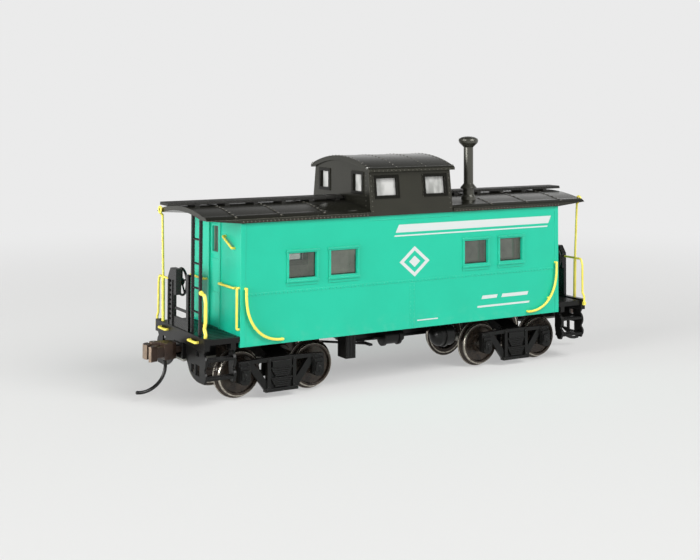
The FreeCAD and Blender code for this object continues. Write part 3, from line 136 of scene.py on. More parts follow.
# ---- pieces of fine relief ----------------------------------------------------------------
class Relief:
    """Many small closed solids, in millimetres, that become one piece on one body."""

    def __init__(self, name):
        self.name = name
        self.mesh = bmesh.new()

    def ring_stack(self, rings, place, tip=None):
        """Closed solid through rings of equal length, with flat or pointed top."""
        loops = []
        for ring in rings:
            loops.append([self.mesh.verts.new(place @ Vector(point)) for point in ring])
        count = len(loops[0])
        for lower, upper in zip(loops, loops[1:]):
            for i in range(count):
                j = (i + 1) % count
                self.mesh.faces.new((lower[i], lower[j], upper[j], upper[i]))
        self.mesh.faces.new(list(reversed(loops[0])))
        if tip is None:
            self.mesh.faces.new(loops[-1])
            return
        peak = self.mesh.verts.new(place @ Vector(tip))
        for i in range(count):
            self.mesh.faces.new((loops[-1][i], loops[-1][(i + 1) % count], peak))

    def head(self, point, normal, radius, height, sides=10):
        """Round rivet head on a surface, sunk a little into it."""
        turn = Vector(normal).to_track_quat("Z", "Y").to_matrix().to_4x4()
        place = Matrix.Translation(point) @ turn
        rings = []
        for share, level in ((1.0, -0.3), (1.0, 0.1), (0.78, 0.68)):
            rings.append([(radius * share * math.cos(math.tau * i / sides),
                           radius * share * math.sin(math.tau * i / sides),
                           height * level) for i in range(sides)])
        self.ring_stack(rings, place, (0, 0, height))

    def bolt(self, point, normal, radius, height, turn_angle=0.0):
        """Six-sided bolt head with a round washer under it."""
        turn = Vector(normal).to_track_quat("Z", "Y").to_matrix().to_4x4()
        place = Matrix.Translation(point) @ turn @ Matrix.Rotation(turn_angle, 4, "Z")
        washer = []
        for level in (-0.3 * height, 0.25 * height):
            washer.append([(radius * 1.3 * math.cos(math.tau * i / 14),
                            radius * 1.3 * math.sin(math.tau * i / 14), level)
                           for i in range(14)])
        self.ring_stack(washer, place)
        nut = []
        for share, level in ((1.0, 0.2), (1.0, 0.85), (0.82, 1.0)):
            nut.append([(radius * share * math.cos(math.tau * i / 6),
                         radius * share * math.sin(math.tau * i / 6), height * level)
                        for i in range(6)])
        self.ring_stack(nut, place)

    def bar(self, low, high):
        """Square-edged bar between two corners."""
        (x0, y0, z0), (x1, y1, z1) = low, high
        x0, x1 = sorted((x0, x1))
        y0, y1 = sorted((y0, y1))
        z0, z1 = sorted((z0, z1))
        rings = [[(x0, y0, z), (x1, y0, z), (x1, y1, z), (x0, y1, z)] for z in (z0, z1)]
        self.ring_stack(rings, Matrix.Identity(4))

    def plate(self, outline, face_y, thickness):
        """Flat outline of (x, z) points on a side wall, standing out by thickness."""
        out = math.copysign(1.0, face_y)
        rings = []
        for y in (face_y - out * thickness, face_y + out * thickness):
            rings.append([(x, y, z) for x, z in outline])
        self.ring_stack(rings, Matrix.Identity(4))

    def strap(self, samples, across, width, thickness, sunk=0.12):
        """Thin strip laid over a row of (point, normal) samples."""
        side = Vector(across).normalized() * width / 2
        rings = []
        for point, normal in samples:
            top = normal * thickness
            bottom = normal * -sunk
            rings.append([point - side + bottom, point + side + bottom,
                          point + side + top, point - side + top])
        self.ring_stack(rings, Matrix.Identity(4))

    def finish(self, body, slot=None, bevel=0.0, look=None):
        """Makes the piece, gives it the slot's material or another look, and joins its body.

        Paint that the record has no slot for is given by its look alone.
        """
        bmesh.ops.recalc_face_normals(self.mesh, faces=self.mesh.faces)
        bmesh.ops.scale(self.mesh, vec=(MM, MM, MM), verts=self.mesh.verts)
        data = bpy.data.meshes.new(self.name)
        self.mesh.to_mesh(data)
        self.mesh.free()
        piece = bpy.data.objects.new(self.name, data)
        scene.collection.objects.link(piece)
        if bevel:
            rounding = piece.modifiers.new("rounded edges", "BEVEL")
            rounding.width = bevel * MM
            rounding.segments = 2
            rounding.limit_method = "ANGLE"
            rounding.angle_limit = math.radians(35)
        data.shade_smooth()
        data.set_sharp_from_angle(angle=math.radians(38))
        data.materials.append(materials[look or slot])
        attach(piece, body)
        return piece


# ---- material building --------------------------------------------------------------------
def srgb(red, green, blue):
    """Linear colour from the usual values between 0 and 255."""
    linear = []
    for value in (red, green, blue):
        share = value / 255
        linear.append(share / 12.92 if share <= 0.04045 else ((share + 0.055) / 1.055) ** 2.4)
    return (*linear, 1.0)


class Finish:
    """One node material while it is being wired."""

    def __init__(self, name):
        self.material = bpy.data.materials.new(name)
        self.material.use_nodes = True
        self.tree = self.material.node_tree
        self.tree.nodes.clear()
        place = self.add("TexCoord").outputs["Object"]
        self.place = self.vector("SCALE", place, Scale=1 / MM)
        parts = self.add("SeparateXYZ", {"Vector": self.place})
        self.x, self.y, self.z = parts.outputs

    def add(self, kind, inputs=None, **settings):
        """New node with its settings and inputs; an input is a value or another node's output."""
        node = self.tree.nodes.new("ShaderNode" + kind)
        for key, value in settings.items():
            setattr(node, key, value)
        for key, value in (inputs or {}).items():
            self.feed(node.inputs[key], value)
        return node

    def feed(self, socket, value):
        if isinstance(value, bpy.types.NodeSocket):
            self.tree.links.new(value, socket)
        else:
            socket.default_value = value

    def math(self, operation, *values, clamp=False):
        inputs = dict(enumerate(values))
        return self.add("Math", inputs, operation=operation, use_clamp=clamp).outputs[0]

    def vector(self, operation, *values, **named):
        inputs = dict(enumerate(values))
        inputs.update(named)
        node = self.add("VectorMath", inputs, operation=operation)
        return node.outputs["Value" if operation in ("LENGTH", "DOT_PRODUCT") else "Vector"]

    def fade(self, value, start, end, low=0.0, high=1.0):
        """Smooth step of value from low at start to high at end."""
        inputs = {"Value": value, "From Min": start, "From Max": end, "To Min": low, "To Max": high}
        return self.add("MapRange", inputs, interpolation_type="SMOOTHSTEP").outputs["Result"]

    def noise(self, size, detail=3.0, vector=None, roughness=0.55):
        """Noise between 0 and 1 whose blotches are about size millimetres wide."""
        inputs = {"Vector": vector or self.place, "Scale": 1 / size, "Detail": detail,
                  "Roughness": roughness}
        return self.add("TexNoise", inputs).outputs["Fac"]

    def mix(self, share, first, second):
        """Colour mix: first at share 0, second at share 1."""
        node = self.add("Mix", {0: share, 6: first, 7: second}, data_type="RGBA")
        return node.outputs[2]

    def rounded_normal(self, radius):
        """Surface normal with the edges shaded as if rounded to radius millimetres."""
        return self.add("Bevel", {"Radius": radius * MM}, samples=4).outputs["Normal"]

    def edges(self, rounded):
        """1 along edges and 0 on flat faces."""
        flat = self.add("NewGeometry").outputs["Normal"]
        return self.fade(self.vector("DOT_PRODUCT", flat, rounded), 0.985, 0.8)

    def bump(self, height, distance, normal, strength=1.0):
        """Bump of a height field that is distance millimetres tall."""
        inputs = {"Height": height, "Distance": distance * MM, "Strength": strength,
                  "Normal": normal}
        return self.add("Bump", inputs).outputs["Normal"]

    def output(self, shader):
        self.add("OutputMaterial", {"Surface": shader})
        return self.material

    def principled(self, **inputs):
        named = {key.replace("_", " "): value for key, value in inputs.items()}
        return self.output(self.add("BsdfPrincipled", named).outputs[0])


def moulded(name, colour, worn, roughness, wear=0.5, grain=0.35, round_edges=0.12, sheen=0.5,
            tint=(1.0, 1.0, 1.0, 1.0)):
    """Moulded or painted plastic: faint mottling, fine skin texture and lighter edges."""
    f = Finish(name)
    rounded = f.rounded_normal(round_edges)
    mottled = f.noise(7.0, 4.0)
    speckle = f.noise(0.5, 4.0)
    tone = f.mix(f.fade(mottled, 0.3, 0.7, 0.0, 0.22), colour, [c * 0.72 for c in colour[:3]] + [1])
    edge = f.math("MULTIPLY", f.edges(rounded), f.fade(f.noise(1.3, 5.0), 0.35, 0.68, 0.2, 1.0))
    tone = f.mix(f.math("MULTIPLY", edge, wear), tone, worn)
    shine = f.math("ADD", roughness - 0.06, f.math("MULTIPLY", speckle, 0.12))
    skin = f.bump(speckle, 0.02 * grain, rounded)
    fine = f.bump(f.noise(0.16, 2.0), 0.008 * grain, skin)
    return f.principled(Base_Color=tone, Roughness=shine, Normal=fine, Specular_IOR_Level=sheen,
                        Specular_Tint=tint)


def body_paint(name):
    """Jade green paint outside, pale grey plastic inside with a painted glow, with fine dust low on
    the walls.
    """
    f = Finish(name)
    rounded = f.rounded_normal(0.14)
    green = srgb(15, 187, 152)
    tone = f.mix(f.fade(f.noise(9.0, 5.0), 0.32, 0.7, 0.0, 0.3), green, srgb(9, 174, 140))
    speckle = f.noise(0.35, 4.0)
    tone = f.mix(f.fade(speckle, 0.62, 0.8, 0.0, 0.12), tone, srgb(70, 214, 184))
    edge = f.math("MULTIPLY", f.edges(rounded), f.fade(f.noise(1.0, 5.0), 0.3, 0.65, 0.25, 1.0))
    tone = f.mix(f.math("MULTIPLY", edge, 0.55), tone, srgb(120, 226, 200))
    low_dust = f.math("MULTIPLY", f.fade(f.z, 19.0, 13.0), f.fade(f.noise(2.5, 6.0), 0.45, 0.75))
    tone = f.mix(f.math("MULTIPLY", low_dust, 0.10), tone, srgb(150, 196, 176))
    # the moulding is unpainted grey inside the walls
    outside_y = f.fade(f.math("ABSOLUTE", f.y), 14.3, 14.6)
    outside_x = f.fade(f.math("ABSOLUTE", f.x), 47.5, 47.8)
    outside = f.math("MAXIMUM", outside_y, outside_x)
    inside = f.mix(f.fade(f.noise(4.0), 0.3, 0.7), srgb(128, 130, 120), srgb(112, 114, 106))
    tone = f.mix(outside, inside, tone)
    shine = f.math("ADD", 0.30, f.math("MULTIPLY", f.noise(1.8, 5.0), 0.16))
    skin = f.bump(speckle, 0.006, rounded)
    fine = f.bump(f.noise(0.12, 2.0), 0.003, skin)
    # painted light: the inside of the walls glows, standing in for light let through the walls and
    # more falling in through the cupola
    painted_inside_light = f.fade(f.math("ABSOLUTE", f.x), 17.0, 2.0, 0.52, 0.95)
    glow = f.math("MULTIPLY", f.math("SUBTRACT", 1.0, outside), painted_inside_light)
    return f.principled(Base_Color=tone, Roughness=shine, Normal=fine, Specular_IOR_Level=0.45,
                        Emission_Color=inside, Emission_Strength=glow)


def cupola_black(name):
    """Roof black with darker, duller surrounds round the cupola's windows."""
    f = Finish(name)
    rounded = f.rounded_normal(0.12)
    along = f.math("ABSOLUTE", f.x)
    across = f.math("ABSOLUTE", f.y)

    def near(value, middle, half):
        offset = f.math("ABSOLUTE", f.math("SUBTRACT", value, middle))
        return f.fade(offset, half + 0.03, half - 0.03)

    side = f.math("MULTIPLY", near(along, CUPOLA_SIDE_X, CUPOLA_SIDE_HALF[0]),
                  near(f.z, CUPOLA_SIDE_Z, CUPOLA_SIDE_HALF[1]))
    side = f.math("MULTIPLY", side, f.fade(across, 12.6, 13.0))
    end = f.math("MULTIPLY", near(across, CUPOLA_END_Y, CUPOLA_END_HALF[0]),
                 near(f.z, CUPOLA_END_Z, CUPOLA_END_HALF[1]))
    end = f.math("MULTIPLY", end, f.fade(along, 11.7, 11.9))
    frame_share = f.math("MAXIMUM", side, end)
    tone = f.mix(f.fade(f.noise(7.0, 4.0), 0.3, 0.7), srgb(28, 28, 23), srgb(22, 22, 18))
    tone = f.mix(frame_share, tone, srgb(7, 7, 6))
    edge = f.math("MULTIPLY", f.edges(rounded), f.fade(f.noise(1.3, 5.0), 0.35, 0.68, 0.2, 1.0))
    tone = f.mix(f.math("MULTIPLY", edge, 0.5), tone, srgb(96, 94, 83))
    speckle = f.noise(0.5, 4.0)
    shine = f.math("ADD", 0.18, f.math("MULTIPLY", speckle, 0.12))
    skin = f.bump(speckle, 0.005, rounded)
    return f.principled(Base_Color=tone, Roughness=shine, Normal=skin,
                        Specular_IOR_Level=f.fade(frame_share, 0.0, 1.0, 0.5, 0.2),
                        Specular_Tint=(1.0, 0.98, 0.82, 1.0))


def window_plastic(name):
    """Clear moulded pane: lets light straight through, mirrors at a slant, faintly streaked.

    The side windows have a painted shade line where the pane meets its opening.
    """
    f = Finish(name)
    streak = f.fade(f.noise(2.4, 4.0), 0.45, 0.8)
    tint = f.mix(streak, (0.80, 0.83, 0.81, 1), (0.72, 0.75, 0.73, 1))
    wave = f.bump(f.noise(3.0, 2.0), 0.012, f.add("NewGeometry").outputs["Normal"])
    clear = f.add("BsdfTransparent", {"Color": tint}).outputs[0]
    mirror = f.add("BsdfGlossy", {"Color": (1, 1, 1, 1), "Roughness": 0.04, "Normal": wave})
    share = f.add("Fresnel", {"IOR": 1.46, "Normal": wave}).outputs[0]
    mixed = f.add("MixShader", {0: share, 1: clear, 2: mirror.outputs[0]}).outputs[0]
    # painted shade: a dark line round the edge of each side pane, where the opening would shade it
    from_pair = f.math("ABSOLUTE", f.math("SUBTRACT", f.math("ABSOLUTE", f.x), SIDE_PAIR_X))
    from_pane = f.math("ABSOLUTE", f.math("SUBTRACT", from_pair, SIDE_PANE_OFFSET_X))
    from_middle = f.math("ABSOLUTE", f.math("SUBTRACT", f.z, SIDE_PANE_MIDDLE_Z))
    rim = f.math("MAXIMUM", f.fade(from_pane, SIDE_PANE_SHADE_X, SIDE_PANE_SHADE_X + PANE_SHADE_FADE),
                 f.fade(from_middle, SIDE_PANE_SHADE_Z, SIDE_PANE_SHADE_Z + PANE_SHADE_FADE))
    rim = f.math("MULTIPLY", rim, f.fade(f.math("ABSOLUTE", f.y), 14.3, 14.4))
    dark = f.add("BsdfDiffuse", {"Color": srgb(24, 34, 30)}).outputs[0]
    pane_with_painted_shade = f.add("MixShader", {0: f.math("MULTIPLY", rim, 0.8), 1: mixed, 2: dark})
    return f.output(pane_with_painted_shade.outputs[0])


def milky_plastic(name):
    """Milky white glazing: scatters light in cloudy patches, with a soft mirror, and glows faintly
    as painted light.
    """
    f = Finish(name)
    along = f.vector("MULTIPLY", f.place, (1.0, 1.0, 0.4))
    cloudy = f.fade(f.noise(3.2, 3.0, along), 0.4, 0.62)
    tone = f.mix(cloudy, srgb(192, 192, 189), srgb(146, 147, 143))
    wave = f.bump(f.noise(3.0, 2.0), 0.02, f.rounded_normal(0.1))
    # painted light: the pane glows faintly in its own tone
    return f.principled(Base_Color=tone, Roughness=0.22, Normal=wave, Emission_Color=tone,
                        Emission_Strength=0.1)


def rail_paint(name):
    """Bright yellow wire paint, thin and darker in places."""
    f = Finish(name)
    rounded = f.rounded_normal(0.08)
    tone = f.mix(f.fade(f.noise(3.0, 4.0), 0.35, 0.7), srgb(240, 225, 96), srgb(228, 211, 80))
    chips = f.fade(f.noise(0.7, 5.0), 0.68, 0.76)
    tone = f.mix(f.math("MULTIPLY", chips, 0.55), tone, srgb(150, 128, 52))
    shine = f.math("ADD", 0.22, f.math("MULTIPLY", f.noise(0.8, 4.0), 0.18))
    skin = f.bump(f.noise(0.25, 3.0), 0.006, rounded)
    return f.principled(Base_Color=tone, Roughness=shine, Normal=skin, Specular_IOR_Level=0.55)


def metal(name, bright, dark, roughness, grain_size=0.25, metallic=1.0, stretch=(1, 1, 1)):
    """Bare or blackened metal with a drawn grain and duller patches."""
    f = Finish(name)
    rounded = f.rounded_normal(0.08)
    drawn = f.vector("MULTIPLY", f.place, stretch)
    patches = f.fade(f.noise(2.0, 5.0), 0.35, 0.7)
    tone = f.mix(patches, bright, dark)
    tone = f.mix(f.math("MULTIPLY", f.edges(rounded), 0.5), tone, bright)
    grain = f.noise(grain_size, 3.0, drawn)
    shine = f.math("ADD", roughness, f.math("MULTIPLY", f.math("ADD", grain, patches), 0.1))
    normal = f.bump(grain, 0.006, rounded)
    return f.principled(Base_Color=tone, Metallic=metallic, Roughness=shine, Normal=normal)


def coupler_bronze(name):
    """Dark brown cast coupler, lighter on the end faces that meet another coupler: partly worn
    bright, partly a painted highlight.
    """
    f = Finish(name)
    rounded = f.rounded_normal(0.16)
    tone = f.mix(f.fade(f.noise(2.2, 5.0), 0.35, 0.7), srgb(60, 46, 38), srgb(44, 34, 28))
    edge = f.math("MULTIPLY", f.edges(rounded), f.fade(f.noise(0.8, 5.0), 0.3, 0.65, 0.3, 1.0))
    tone = f.mix(f.math("MULTIPLY", edge, 0.55), tone, srgb(142, 118, 102))
    # partly wear, partly painted light: faces turned along the car at the head are made lighter
    facing = f.math("ABSOLUTE", f.add("SeparateXYZ", {"Vector": rounded}).outputs[0])
    worn_and_lit_ends = f.math("MULTIPLY", f.fade(facing, 0.55, 0.85),
                    f.fade(f.math("ABSOLUTE", f.x), 63.8, 64.6))
    worn_and_lit_ends = f.math("MULTIPLY", worn_and_lit_ends, f.fade(f.noise(1.1, 5.0), 0.25, 0.6, 0.55, 1.0))
    tone = f.mix(worn_and_lit_ends, tone, srgb(142, 124, 106))
    grain = f.noise(0.3, 4.0)
    shine = f.math("ADD", 0.3, f.math("MULTIPLY", grain, 0.16))
    return f.principled(Base_Color=tone, Roughness=shine, Normal=f.bump(grain, 0.02, rounded),
                        Metallic=f.math("MULTIPLY", worn_and_lit_ends, 0.5))


def wheel_metal(name, centre_x, centre_z, tread_radius, flange_radius):
    """Turned wheel: blackened dished face, ring marks from the lathe and a bright worn rim."""
    f = Finish(name)
    rounded = f.rounded_normal(0.12)
    arm = f.add("CombineXYZ", {0: f.math("SUBTRACT", f.x, centre_x), 1: 0.0,
                               2: f.math("SUBTRACT", f.z, centre_z)}).outputs[0]
    radius = f.vector("LENGTH", arm)
    rings = f.add("TexNoise", {"W": f.math("MULTIPLY", radius, 9.0), "Scale": 1.0, "Detail": 3.0},
                  noise_dimensions="1D").outputs["Fac"]
    face = f.mix(f.fade(f.noise(1.6, 5.0), 0.35, 0.7), srgb(60, 51, 43), srgb(36, 31, 27))
    rim = f.mix(f.fade(f.noise(0.8, 4.0), 0.4, 0.7), srgb(190, 184, 172), srgb(132, 126, 116))
    # bright where the rail and the flange tips rub: a band at the tread and a line at the flange
    tread = f.math("MULTIPLY", f.fade(radius, tread_radius - 0.44, tread_radius - 0.36),
                   f.fade(radius, tread_radius - 0.04, tread_radius - 0.12))
    worn = f.math("MAXIMUM", tread, f.fade(radius, flange_radius - 0.16, flange_radius - 0.1))
    tone = f.mix(worn, face, rim)
    shine = f.math("ADD", f.fade(worn, 0.0, 1.0, 0.16, 0.14), f.math("MULTIPLY", rings, 0.16))
    normal = f.bump(rings, 0.012, rounded)
    bare = f.fade(worn, 0.0, 1.0, 0.4, 1.0)
    return f.principled(Base_Color=tone, Metallic=bare, Roughness=shine, Normal=normal)


def roof_plank(name):
    """Moulded black plank with a shallow wood grain along the car."""
    f = Finish(name)
    rounded = f.rounded_normal(0.08)
    along = f.vector("MULTIPLY", f.place, (0.12, 1.6, 1.6))
    grain = f.noise(0.35, 5.0, along, 0.65)
    tone = f.mix(f.fade(grain, 0.35, 0.65), srgb(24, 23, 21), srgb(38, 37, 33))
    tone = f.mix(f.math("MULTIPLY", f.edges(rounded), 0.5), tone, srgb(88, 86, 80))
    normal = f.bump(grain, 0.04, rounded)
    shine = f.fade(grain, 0.3, 0.7, 0.42, 0.58)
    return f.principled(Base_Color=tone, Roughness=shine, Normal=normal)


def mark_paint(name):
    """Printed white ink, thin enough to show a trace of the green in its pinholes."""
    f = Finish(name)
    pinholes = f.fade(f.noise(0.22, 4.0), 0.66, 0.74)
    tone = f.mix(f.math("MULTIPLY", pinholes, 0.5), srgb(204, 210, 208), srgb(110, 200, 178))
    normal = f.bump(f.noise(0.2, 3.0), 0.003, f.add("NewGeometry").outputs["Normal"])
    return f.principled(Base_Color=tone, Roughness=0.5, Normal=normal)


materials = {
    "green_paint": body_paint("green_paint"),
    "roof_black": moulded("roof_black", srgb(27, 27, 22), srgb(106, 104, 92), 0.22, wear=0.5,
                          grain=0.25, sheen=0.5, tint=(1.0, 0.98, 0.82, 1.0)),
    "roof_plank": roof_plank("roof_plank"),
    "cupola_black": cupola_black("cupola_black"),
    "window_clear": window_plastic("window_clear"),
    "window_milky": milky_plastic("window_milky"),
    # the rivets' lighter tone and pale edges are partly wear, partly painted glints
    "rivet_wear_and_glint": moulded("rivet_wear_and_glint", srgb(74, 72, 63), srgb(176, 172, 156), 0.12, wear=0.9,
                           grain=0.1, round_edges=0.05, sheen=0.8),
    "chimney_black": moulded("chimney_black", srgb(42, 42, 36), srgb(104, 102, 92), 0.3,
                             wear=0.6, grain=0.2, sheen=0.9, tint=(1.0, 0.99, 0.88, 1.0)),
    "frame_black": moulded("frame_black", srgb(11, 11, 10), srgb(58, 57, 52), 0.34, wear=0.45,
                           sheen=0.28),
    "lid_grey": moulded("lid_grey", srgb(140, 140, 132), srgb(176, 176, 168), 0.48),
    "fitting_black": moulded("fitting_black", srgb(15, 15, 14), srgb(80, 79, 74), 0.27, wear=0.5,
                             round_edges=0.08, sheen=0.38),
    "rail_yellow": rail_paint("rail_yellow"),
    "coupler_brown": coupler_bronze("coupler_brown"),
    "pin_black": metal("pin_black", srgb(40, 40, 39), srgb(18, 18, 18), 0.1, metallic=0.5,
                       stretch=(1, 1, 0.3)),
    "pin_steel": metal("pin_steel", srgb(190, 190, 186), srgb(140, 138, 132), 0.2),
    "weight_steel": metal("weight_steel", srgb(150, 150, 148), srgb(110, 104, 98), 0.4,
                          stretch=(0.1, 1, 1)),
    "axle_steel": metal("axle_steel", srgb(178, 176, 170), srgb(128, 124, 116), 0.22,
                        stretch=(3, 0.2, 3)),
    "bush_black": moulded("bush_black", srgb(32, 32, 32), srgb(80, 80, 78), 0.3, grain=0.2),
    "mark_white": mark_paint("mark_white"),
}


def set_material(name, material):
    """Replaces whatever material a CAD node came with."""
    slots = nodes[name].data.materials
    slots.clear()
    slots.append(material)


for part in record["subparts"]:
    node_name = part["node"]
    slot_name = part["material_slot"]
    if slot_name == "wheel_metal":
        low, high = box_mm(node_name)
        middle = (low + high) / 2
        flange_radius = (high.z - low.z) / 2
        set_material(node_name, wheel_metal(node_name + "_metal", middle.x, middle.z,
                                            middle.z, flange_radius))
    elif node_name == "running_boards":
        set_material(node_name, materials["roof_plank"])
    elif node_name == "cupola_shell":
        set_material(node_name, materials["cupola_black"])
    elif node_name == "smokejack":
        set_material(node_name, materials["chimney_black"])
    elif node_name == "cupola_glazing":
        set_material(node_name, materials["window_milky"])
    else:
        set_material(node_name, materials[slot_name])


# ---- relief on the roof -------------------------------------------------------------------
roof_low, roof_high = box_mm("roof")
roof_tree = surface_of("roof")
shell_tree = surface_of("body_shell")
side_face = abs(touch(shell_tree, (0, -60, 20), (0, 1, 0))[0].y)
end_face = abs(touch(shell_tree, (-90, 12, 20), (1, 0, 0))[0].x)
board_low, board_high = box_mm("running_boards")
cupola_low, cupola_high = box_mm("cupola_shell")


def roof_seams():
    """Straps across the roof at the panel joints, each between two rows of rivets."""
    straps = Relief("roof_seam_straps")
    rivets = Relief("roof_rivets")
    reach = roof_high.y - 0.5
    for end in (-1, 1):
        for i in range(3):
            x = end * (end_face + 1.2 - SEAM_PITCH * i)
            samples = [touch(roof_tree, (x, y, 60), (0, 0, -1)) for y in spaced(-reach, reach, 0.8)]
            straps.strap(samples, (1, 0, 0), 0.9, 0.08)
            for y in spaced(-reach + 0.4, reach - 0.4, 1.9):
                if abs(y) < board_high.y + 0.3:
                    continue
                point, normal = touch(roof_tree, (x, y, 60), (0, 0, -1))
                rivets.head(point + normal * 0.07, normal, ROOF_RIVET, 0.16)
    straps.finish("car", "roof_black")
    rivets.finish("car", "roof_black", look="rivet_wear_and_glint")


def fascia_rivets():
    """Close row of small rivets along the roof's upright edge on both sides."""
    rivets = Relief("fascia_rivets")
    level = roof_low.z + 0.35
    for side in (-1, 1):
        for end in (-1, 1):
            for x in spaced(cupola_high.x + 0.9, end_face - 0.4, SMALL_PITCH):
                found = touch(roof_tree, (end * x, side * 60, level), (0, -side, 0))
                rivets.head(*found, RIVET, 0.16)
    rivets.finish("car", "roof_black", look="rivet_wear_and_glint")


def board_teeth():
    """Fine upright teeth along both side strips of the running boards."""
    teeth = Relief("running_board_teeth")
    low_z, high_z = board_high.z - 0.7, board_high.z - 0.1
    for end, outer_x in ((-1, -board_low.x), (1, board_high.x)):
        for x in spaced(cupola_high.x + 1.2, outer_x - 0.5, 1.0):
            for side in (-1, 1):
                teeth.bar((end * x - 0.28, side * (board_high.y - 0.1), low_z),
                          (end * x + 0.28, side * (board_high.y + 0.12), high_z))
    teeth.finish("car", "roof_black", bevel=0.04, look="roof_plank")


roof_seams()
fascia_rivets()
board_teeth()


# ---- relief on the body -------------------------------------------------------------------
def side_relief():
    """Belt seam, centre seam and corner posts on the side walls, with their rivets."""
    strips = Relief("side_seam_strips")
    rivets = Relief("side_rivets")
    sill_z, eave_z = box_mm("body_shell")[0].z, roof_low.z
    post_width = 1.25
    proud = 0.10
    for side in (-1, 1):
        out = (0, side, 0)
        face = side * side_face
        for end in (-1, 1):
            edge = end * (end_face - 0.02)
            strips.bar((edge, face - side * 0.2, sill_z + 0.02),
                       (edge - end * post_width, face + side * proud, eave_z - 0.1))
        strips.bar((-0.75, face - side * 0.2, sill_z + 0.02),
                   (0.75, face + side * proud * 0.6, BELT_Z - 0.4))
        for z in spaced(sill_z + 0.7, BELT_Z - 1.2, SMALL_PITCH):
            for x in (-0.5, 0.5):
                rivets.head(Vector((x, face + side * proud * 0.6, z)), out, 0.16, 0.14)
        strips.bar((-end_face + post_width + 0.1, face - side * 0.2, BELT_Z - 0.35),
                   (end_face - post_width - 0.1, face + side * 0.05, BELT_Z + 0.35))
        for x in spaced(-end_face + post_width + 0.7, end_face - post_width - 0.7,
                        SMALL_PITCH):
            rivets.head(Vector((x, face + side * 0.05, BELT_Z)), out, RIVET, 0.17)
        # narrow ledge where the cupola's wall meets the side
        strips.bar((cupola_low.x, face - side * 0.2, eave_z - 1.15),
                   (cupola_high.x, face + side * 0.1, eave_z - 0.9))
    strips.finish("car", "green_paint", bevel=0.03)
    rivets.finish("car", "green_paint")


side_relief()


# ---- relief on the cupola -----------------------------------------------------------------
def cupola_relief():
    """Rivets round the cupola roof, across its two joints and down the wall corners."""
    rivets = Relief("cupola_rivets")
    top_tree = surface_of("cupola_roof")
    wall_tree = surface_of("cupola_shell")
    top_low, top_high = box_mm("cupola_roof")
    reach_y = top_high.y - 0.9
    for x in (top_low.x + 0.55, -4.4, 4.4, top_high.x - 0.55):
        for y in spaced(-reach_y, reach_y, 1.7):
            point, normal = touch(top_tree, (x, y, 70), (0, 0, -1))
            rivets.head(point, normal, 0.24, 0.16)
    for side in (-1, 1):
        for x in spaced(top_low.x + 1.6, top_high.x - 1.6, 1.25):
            point, normal = touch(top_tree, (x, side * 60, top_low.z + 0.28), (0, -side, 0))
            rivets.head(point, normal, 0.14, 0.1)
        for end in (-1, 1):
            for z in spaced(cupola_low.z + 1.2, top_low.z - 1.0, 1.3):
                point, normal = touch(wall_tree, (end * (cupola_high.x - 0.85), side * 60, z),
                                      (0, -side, 0))
                rivets.head(point, normal, 0.14, 0.1)
                found = touch(wall_tree, (end * 60, side * (top_high.y - 2.6), z), (-end, 0, 0))
                if found and abs(found[1].x) > 0.8:
                    rivets.head(*found, 0.14, 0.1)
    rivets.finish("car", "roof_black", look="rivet_wear_and_glint")
    bolts = Relief("cupola_roof_bolts")
    for end in (-1, 1):
        for side in (-1, 1):
            found = touch(top_tree, (end * 60, side * (top_high.y - 1.1), top_low.z + 1.0),
                          (-end, 0, 0))
            if found:
                bolts.head(*found, 0.34, 0.3, sides=14)
    bolts.finish("car", "pin_steel")


cupola_relief()


# ---- plain painted marks ------------------------------------------------------------------
def painted_marks():
    """White stripe, diamond and short dashes on each side, in place of lettering."""
    marks = Relief("painted_marks")

    def slanted(x0, x1, z0, z1, lean):
        return [(x0, z0), (x1, z0), (x1 + lean, z1), (x0 + lean, z1)]

    def diamond(reach):
        """Corners of a flattened diamond in the middle of the side."""
        middle_x, middle_z, flatness = 0.8, 30.0, 0.85
        return [(middle_x + x * reach, middle_z + z * reach * flatness)
                for x, z in ((1, 0), (0, 1), (-1, 0), (0, -1))]

    for side in (-1, 1):
        face = side * side_face
        outlines = [
            slanted(-5.0, 44.8, 37.6, 39.6, 1.0),
            slanted(-5.4, 44.4, 36.6, 36.95, 0.2),
            slanted(22.0, 27.0, 18.6, 19.5, 0.4),
            slanted(28.6, 37.4, 18.6, 19.5, 0.4),
            slanted(20.6, 38.0, 16.4, 16.9, 0.2),
            slanted(1.6, 8.0, 14.7, 15.0, 0.0),
        ]
        # a flattened diamond: four bars between two outlines, and a small one in the middle
        outer = diamond(4.6)
        inner = diamond(3.3)
        for i in range(4):
            j = (i + 1) % 4
            outlines.append([outer[i], outer[j], inner[j], inner[i]])
        outlines.append(diamond(1.7))
        for outline in outlines:
            # the far side reads the same way as the near side
            turned = [(-side * x, z) for x, z in outline]
            marks.plate(turned, face, MARK_THICKNESS)
    marks.finish("car", look="mark_white")


painted_marks()


